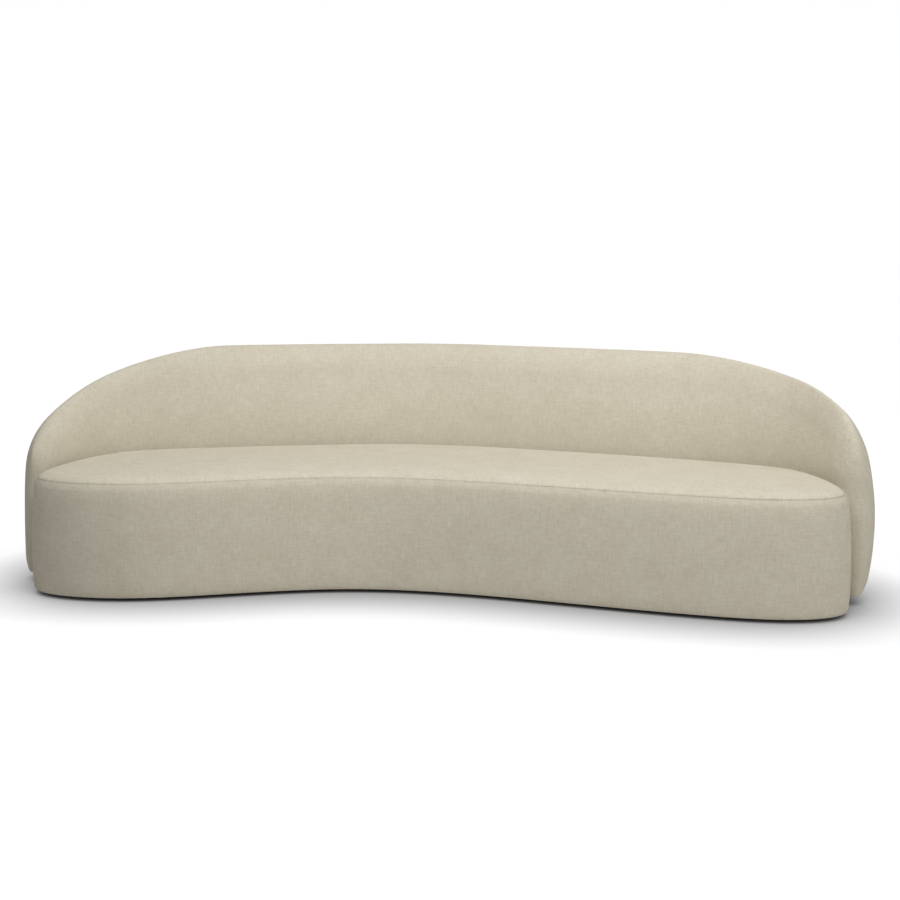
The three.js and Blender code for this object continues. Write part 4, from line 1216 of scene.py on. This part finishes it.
@dataclass
class Glides:
    """The nailed nylon glides, each turned with a rounded rim and a shallow dish underneath."""

    nylon: Material
    count: int = 8
    shank: float = 0.0025
    point_share: float = 0.6
    point_height: float = 0.001
    head_top: float = 0.0116
    clearance: float = 0.0003
    rounding: float = 0.0016
    rounding_steps: int = 5
    dish: Pairs = ((0.0, 0.0008), (0.45, 0.0006), (0.7, 0.0))
    turns: int = 48

    def glide(self, number: int) -> Piece:
        """Turns one glide in its place.

        Args:
            number: which glide, from 1.

        Returns:
            The glide.
        """
        low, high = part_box(f"glide_{number}")
        middle = (low + high) / 2
        radius = (high.x - low.x) / 2
        top = min(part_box("seat_dust_cover")[0].z - self.clearance, self.head_top)
        outs = [1 - math.sin(turn) for turn in quarter(self.rounding_steps)]
        rises = [1 - math.cos(turn) for turn in quarter(self.rounding_steps)]
        line = [(radius * share, height) for share, height in self.dish]
        line += [(radius - self.rounding * out, self.rounding * rise) for out, rise in zip(outs, rises)]
        line += [(radius - self.rounding * rise, top - self.rounding * out) for out, rise in zip(outs, rises)]
        line += [(self.shank, top), (self.shank, high.z - self.point_height)]
        line += [(self.shank * self.point_share, high.z), (0.0, high.z)]
        bm = bmesh.new()
        stations = [bm.verts.new((middle.x + out, middle.y, height)) for out, height in line]
        edges = [bm.edges.new(pair) for pair in zip(stations, stations[1:])]
        turn = {"cent": (middle.x, middle.y, 0.0), "axis": (0.0, 0.0, 1.0), "angle": math.tau, "steps": self.turns}
        bmesh.ops.spin(bm, geom=[*stations, *edges], use_merge=True, **turn)
        bmesh.ops.remove_doubles(bm, verts=bm.verts, dist=MERGE_WITHIN)
        bmesh.ops.recalc_face_normals(bm, faces=bm.faces)
        for face in bm.faces:
            face.smooth = True
        return fitted(object_from(bm, f"glide_turned_{number}"), self.nylon, "nylon", f"glide_{number}")

    def build(self) -> list[Piece]:
        """Makes all the glides."""
        return [self.glide(number + 1) for number in range(self.count)]


@dataclass
class Webbing:
    """Elastic straps under the foam: short ones from front to rear, two long ones woven over and under them."""

    rim: Rim
    elastic: Material
    width: float = 0.060
    pitch: float = 0.210
    thickness: float = 0.0009
    end_inset: float = 0.1036
    edge_margin: float = 0.004
    long_places: tuple[float, ...] = (-0.1056, 0.0176)
    wave: float = 0.0005
    wave_share: float = 0.6
    rim_samples: int = 1200
    columns: int = 7
    steps: int = 90

    def __post_init__(self) -> None:
        """Finds the outline at which the straps end."""
        distances = np.linspace(0, self.rim.length, self.rim_samples, endpoint=False)
        self.edge = self.rim.place(distances, -self.end_inset, 0.0)[:, :2] - self.rim.shift
        low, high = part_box("seat_webbing")
        self.level = (low.z + high.z) / 2

    def span(self, axis: int, at: float) -> Pair:
        """Where a strap along one axis starts and ends, at its place on the other axis.

        Args:
            axis: 0 along the sofa, 1 from front to rear.
            at: its place on the other axis.

        Returns:
            Its start and end.
        """
        near = np.abs(self.edge[:, 1 - axis] - at) < self.width / 2 + self.edge_margin
        values = self.edge[near][:, axis]
        outer = np.ptp(values) / 4
        return float(values[values < values.min() + outer].max()), float(values[values > values.max() - outer].min())

    def strap(self, name: str, axis: int, at: float, crossings: list[float], side: int) -> Piece:
        """Makes one strap.

        Args:
            name: its name.
            axis: 0 for a strap along the sofa, 1 for one from front to rear.
            at: its place on the other axis.
            crossings: where it crosses the others, along itself.
            side: 1 when it goes over its first crossing, -1 when under.

        Returns:
            The strap.
        """
        start, end = self.span(axis, at)
        along = np.linspace(start, end, self.steps if axis else 4 * self.steps)
        weave = np.zeros_like(along)
        for number, crossing in enumerate(sorted(crossings)):
            weave += side * (-1) ** number * np.exp(-(((along - crossing) / (self.wave_share * self.width)) ** 2))
        across = np.linspace(-self.width / 2, self.width / 2, self.columns)
        outs = np.concatenate([across, across[::-1], across[:1]])[:, None]
        faces = np.repeat([-1, 1, -1], [len(across), len(across), 1])[:, None]
        places = np.zeros((len(outs), len(along), 3))
        places[..., axis] = along + self.rim.shift[axis]
        places[..., 1 - axis] = at + outs + self.rim.shift[1 - axis]
        places[..., 2] = self.level + self.wave * weave + faces * self.thickness / 2
        cloth_map = np.dstack([np.broadcast_to(along, places.shape[:2]), places[..., 1 - axis]])
        piece = fitted(woven_piece(name, places, cloth_map, capped=True), self.elastic, "elastic_strap", "seat_webbing")
        return piece

    def build(self) -> list[Piece]:
        """Makes every strap.

        Returns:
            The straps.
        """
        count = math.floor(self.rim.width / self.pitch) - 1
        short_places = [(number - (count - 1) / 2) * self.pitch for number in range(count)]
        made = []
        sets = (("across", 1, short_places, self.long_places, -1), ("along", 0, self.long_places, short_places, 1))
        for word, axis, places, crossings, first_side in sets:
            for number, at in enumerate(places):
                side = first_side * (-1) ** number
                made.append(self.strap(f"seat_strap_{word}_{number + 1}", axis, at, list(crossings), side))
        return made


@dataclass
class InnerFrame:
    """The CAD nodes inside the upholstery, which keep their shapes and get the finish of their kind."""

    kinds: tuple[tuple[str, Grained], ...] = (
        ("bolt", zinc("zinc_plated_steel")),
        ("nut", zinc("zinc_plated_barrel")),
        ("panel", fibreboard("fibreboard")),
        ("board", fibreboard("fibreboard")),
        ("rib", plywood("plywood_upright", Grain.UPRIGHT)),
        ("post", plywood("plywood_upright", Grain.UPRIGHT)),
        ("", plywood("plywood_flat", Grain.ALONG_X)),
    )

    def dress(self) -> list[Piece]:
        """Gives every shown CAD node the material of its kind.

        Returns:
            The dressed nodes.
        """
        made = {}
        shown = {name: node for name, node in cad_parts.items() if not node.hide_render}
        for name, node in shown.items():
            finish = next(finish for word, finish in self.kinds if word in name)
            if finish.name not in made:
                made[finish.name] = finish.material()
            node.data.materials.clear()
            node.data.materials.append(made[finish.name])
        return list(shown.values())


# The studio


@dataclass(frozen=True)
class Lamp:
    """A soft rectangular lamp: where it hangs, what it points at, its size and its power."""

    name: str
    place: Triple
    aim: Triple
    size: Pair
    power: float

    def hang(self) -> None:
        """Hangs the lamp in the scene, out of the camera's sight."""
        light = bpy.data.lights.new(self.name, "AREA")
        light.shape = "RECTANGLE"
        light.size, light.size_y = self.size
        light.energy = self.power
        hung = bpy.data.objects.new(self.name, light)
        hung.location = self.place
        hung.rotation_euler = (Vector(self.aim) - Vector(self.place)).to_track_quat("-Z", "Y").to_euler()
        hung.visible_camera = False
        bpy.context.scene.collection.objects.link(hung)


@dataclass
class Studio:
    """A pale floor, soft light and the camera at the photograph's angle."""

    seat_middle: Array
    camera_place: Triple = (0.6356, -5.2488, 1.364)
    camera_way: Triple = (-0.1138, 0.9935, 0.0)
    lens: float = 60.0
    film_width: float = 36.0
    shift: float = -0.2867
    floor_size: float = 60.0
    floor_bounce: float = 0.65
    floor_shown: float = 0.08
    floor_glow: float = 1.0
    # Reaches and powers of the ambient occlusion that paints the sofa's shadow into the floor's glow.
    contact: Pair = (0.30, 1.2)
    shade: Pair = (1.2, 0.35)
    ambient: float = 0.18
    lamps: tuple[Lamp, ...] = (
        Lamp("overhead_softbox", (0.2, -1.35, 3.1), (0.2, 0.0, 0.4), (3.4, 2.0), 88.0),
        Lamp("side_softbox", (3.3, -1.8, 1.2), (0.8, 0.0, 0.4), (1.6, 1.4), 18.0),
        Lamp("rear_softbox", (-0.6, 4.2, 1.9), (0.0, 0.3, 0.4), (3.4, 1.8), 60.0),
    )

    def floor(self) -> Piece:
        """Makes the floor, which glows white with the sofa's soft shadow painted into its glow by ambient occlusion,
        over a faint real shadow from the lamps.

        Returns:
            The floor.
        """
        bm = bmesh.new()
        bmesh.ops.create_grid(bm, x_segments=8, y_segments=8, size=self.floor_size / 2)
        made = object_from(bm, "studio_floor")
        recipe = Recipe("studio_floor")
        recipe.tree.nodes.remove(recipe.shader)
        clear = []
        # Painted shadow: ambient occlusion at a short and a long reach darkens the floor's glow near the sofa.
        for reach, depth in (self.contact, self.shade):
            nearness = recipe.add("ShaderNodeAmbientOcclusion", {"Distance": reach}, samples=16).outputs["AO"]
            clear.append(recipe.math("POWER", nearness, depth))
        glow = recipe.math("MULTIPLY", recipe.math("MULTIPLY", *clear), self.floor_glow)
        shown = recipe.add("ShaderNodeBsdfDiffuse", {"Color": (self.floor_shown,) * 3})
        light = recipe.add("ShaderNodeEmission", {"Color": WHITE, "Strength": glow})
        bright = recipe.add("ShaderNodeAddShader", {0: shown.outputs[0], 1: light.outputs[0]})
        bounce = recipe.add("ShaderNodeBsdfDiffuse", {"Color": (self.floor_bounce,) * 3})
        mixed = {0: recipe.seen_directly(), 1: bounce.outputs[0], 2: bright.outputs[0]}
        output = next(node for node in recipe.tree.nodes if node.type == "OUTPUT_MATERIAL")
        recipe.feed(output, "Surface", recipe.add("ShaderNodeMixShader", mixed).outputs[0])
        made.data.materials.append(recipe.material)
        return made

    def light(self) -> None:
        """Hangs the lamps and sets the white surroundings."""
        for lamp in self.lamps:
            lamp.hang()
        world = bpy.data.worlds.new("studio_white")
        world.use_nodes = True
        bpy.context.scene.world = world
        wiring = Wiring(world.node_tree)
        ambient = wiring.tree.nodes["Background"]
        wiring.feed(ambient, "Strength", self.ambient)
        wiring.feed(ambient, "Color", WHITE)
        white = wiring.add("ShaderNodeBackground", {"Strength": 1.0, "Color": WHITE})
        mixed = {0: wiring.seen_directly(), 1: ambient.outputs[0], 2: white.outputs[0]}
        chosen = wiring.add("ShaderNodeMixShader", mixed).outputs[0]
        wiring.feed(wiring.tree.nodes["World Output"], 0, chosen)

    def camera(self) -> None:
        """Sets the camera at the photograph's place."""
        lens = bpy.data.cameras.new("photograph_view")
        lens.lens = self.lens
        lens.sensor_width = self.film_width
        lens.shift_y = self.shift
        held = bpy.data.objects.new("photograph_view", lens)
        held.location = Vector(self.camera_place) + Vector((*self.seat_middle, 0.0))
        held.rotation_euler = Vector(self.camera_way).to_track_quat("-Z", "Y").to_euler()
        bpy.context.scene.collection.objects.link(held)
        bpy.context.scene.camera = held

    def build(self) -> list[Piece]:
        """Makes the floor, the lights and the camera.

        Returns:
            The floor.
        """
        bpy.context.scene.view_settings.view_transform = "Standard"
        self.light()
        self.camera()
        return [self.floor()]


def main() -> None:
    """Builds the sofa and its studio in order."""
    logging.basicConfig(level=logging.INFO, format="%(message)s")
    rim = Rim()
    log.info("rim %.4f m, shift %s", rim.length, rim.shift)
    seat_cloth = SlubLinen("seat_linen").material()
    back_cloth = SlubLinen("back_linen").material()
    dust_cloth = plain_weave("dust_cloth", (0.045, 0.045, 0.045), (0.015, 0.015, 0.015), 0.0009).material()
    elastic = plain_weave("elastic_strap", (0.10, 0.095, 0.09), (0.035, 0.033, 0.03), 0.0016).material()
    nylon = moulded("black_nylon", (0.012, 0.012, 0.012), 0.5).material()
    seat = SeatBlock(rim, seat_cloth)
    back = BackShell(rim, back_cloth)
    made = seat.build()
    made += back.build()
    made += Underside(rim, seat, back, dust_cloth).build()
    made += Glides(nylon).build()
    made += Webbing(rim, elastic).build()
    made += InnerFrame().dress()
    made += Studio(rim.shift).build()
    for piece in made:
        log.info("made %s", piece.name)


if __name__ == "__main__":
    main()
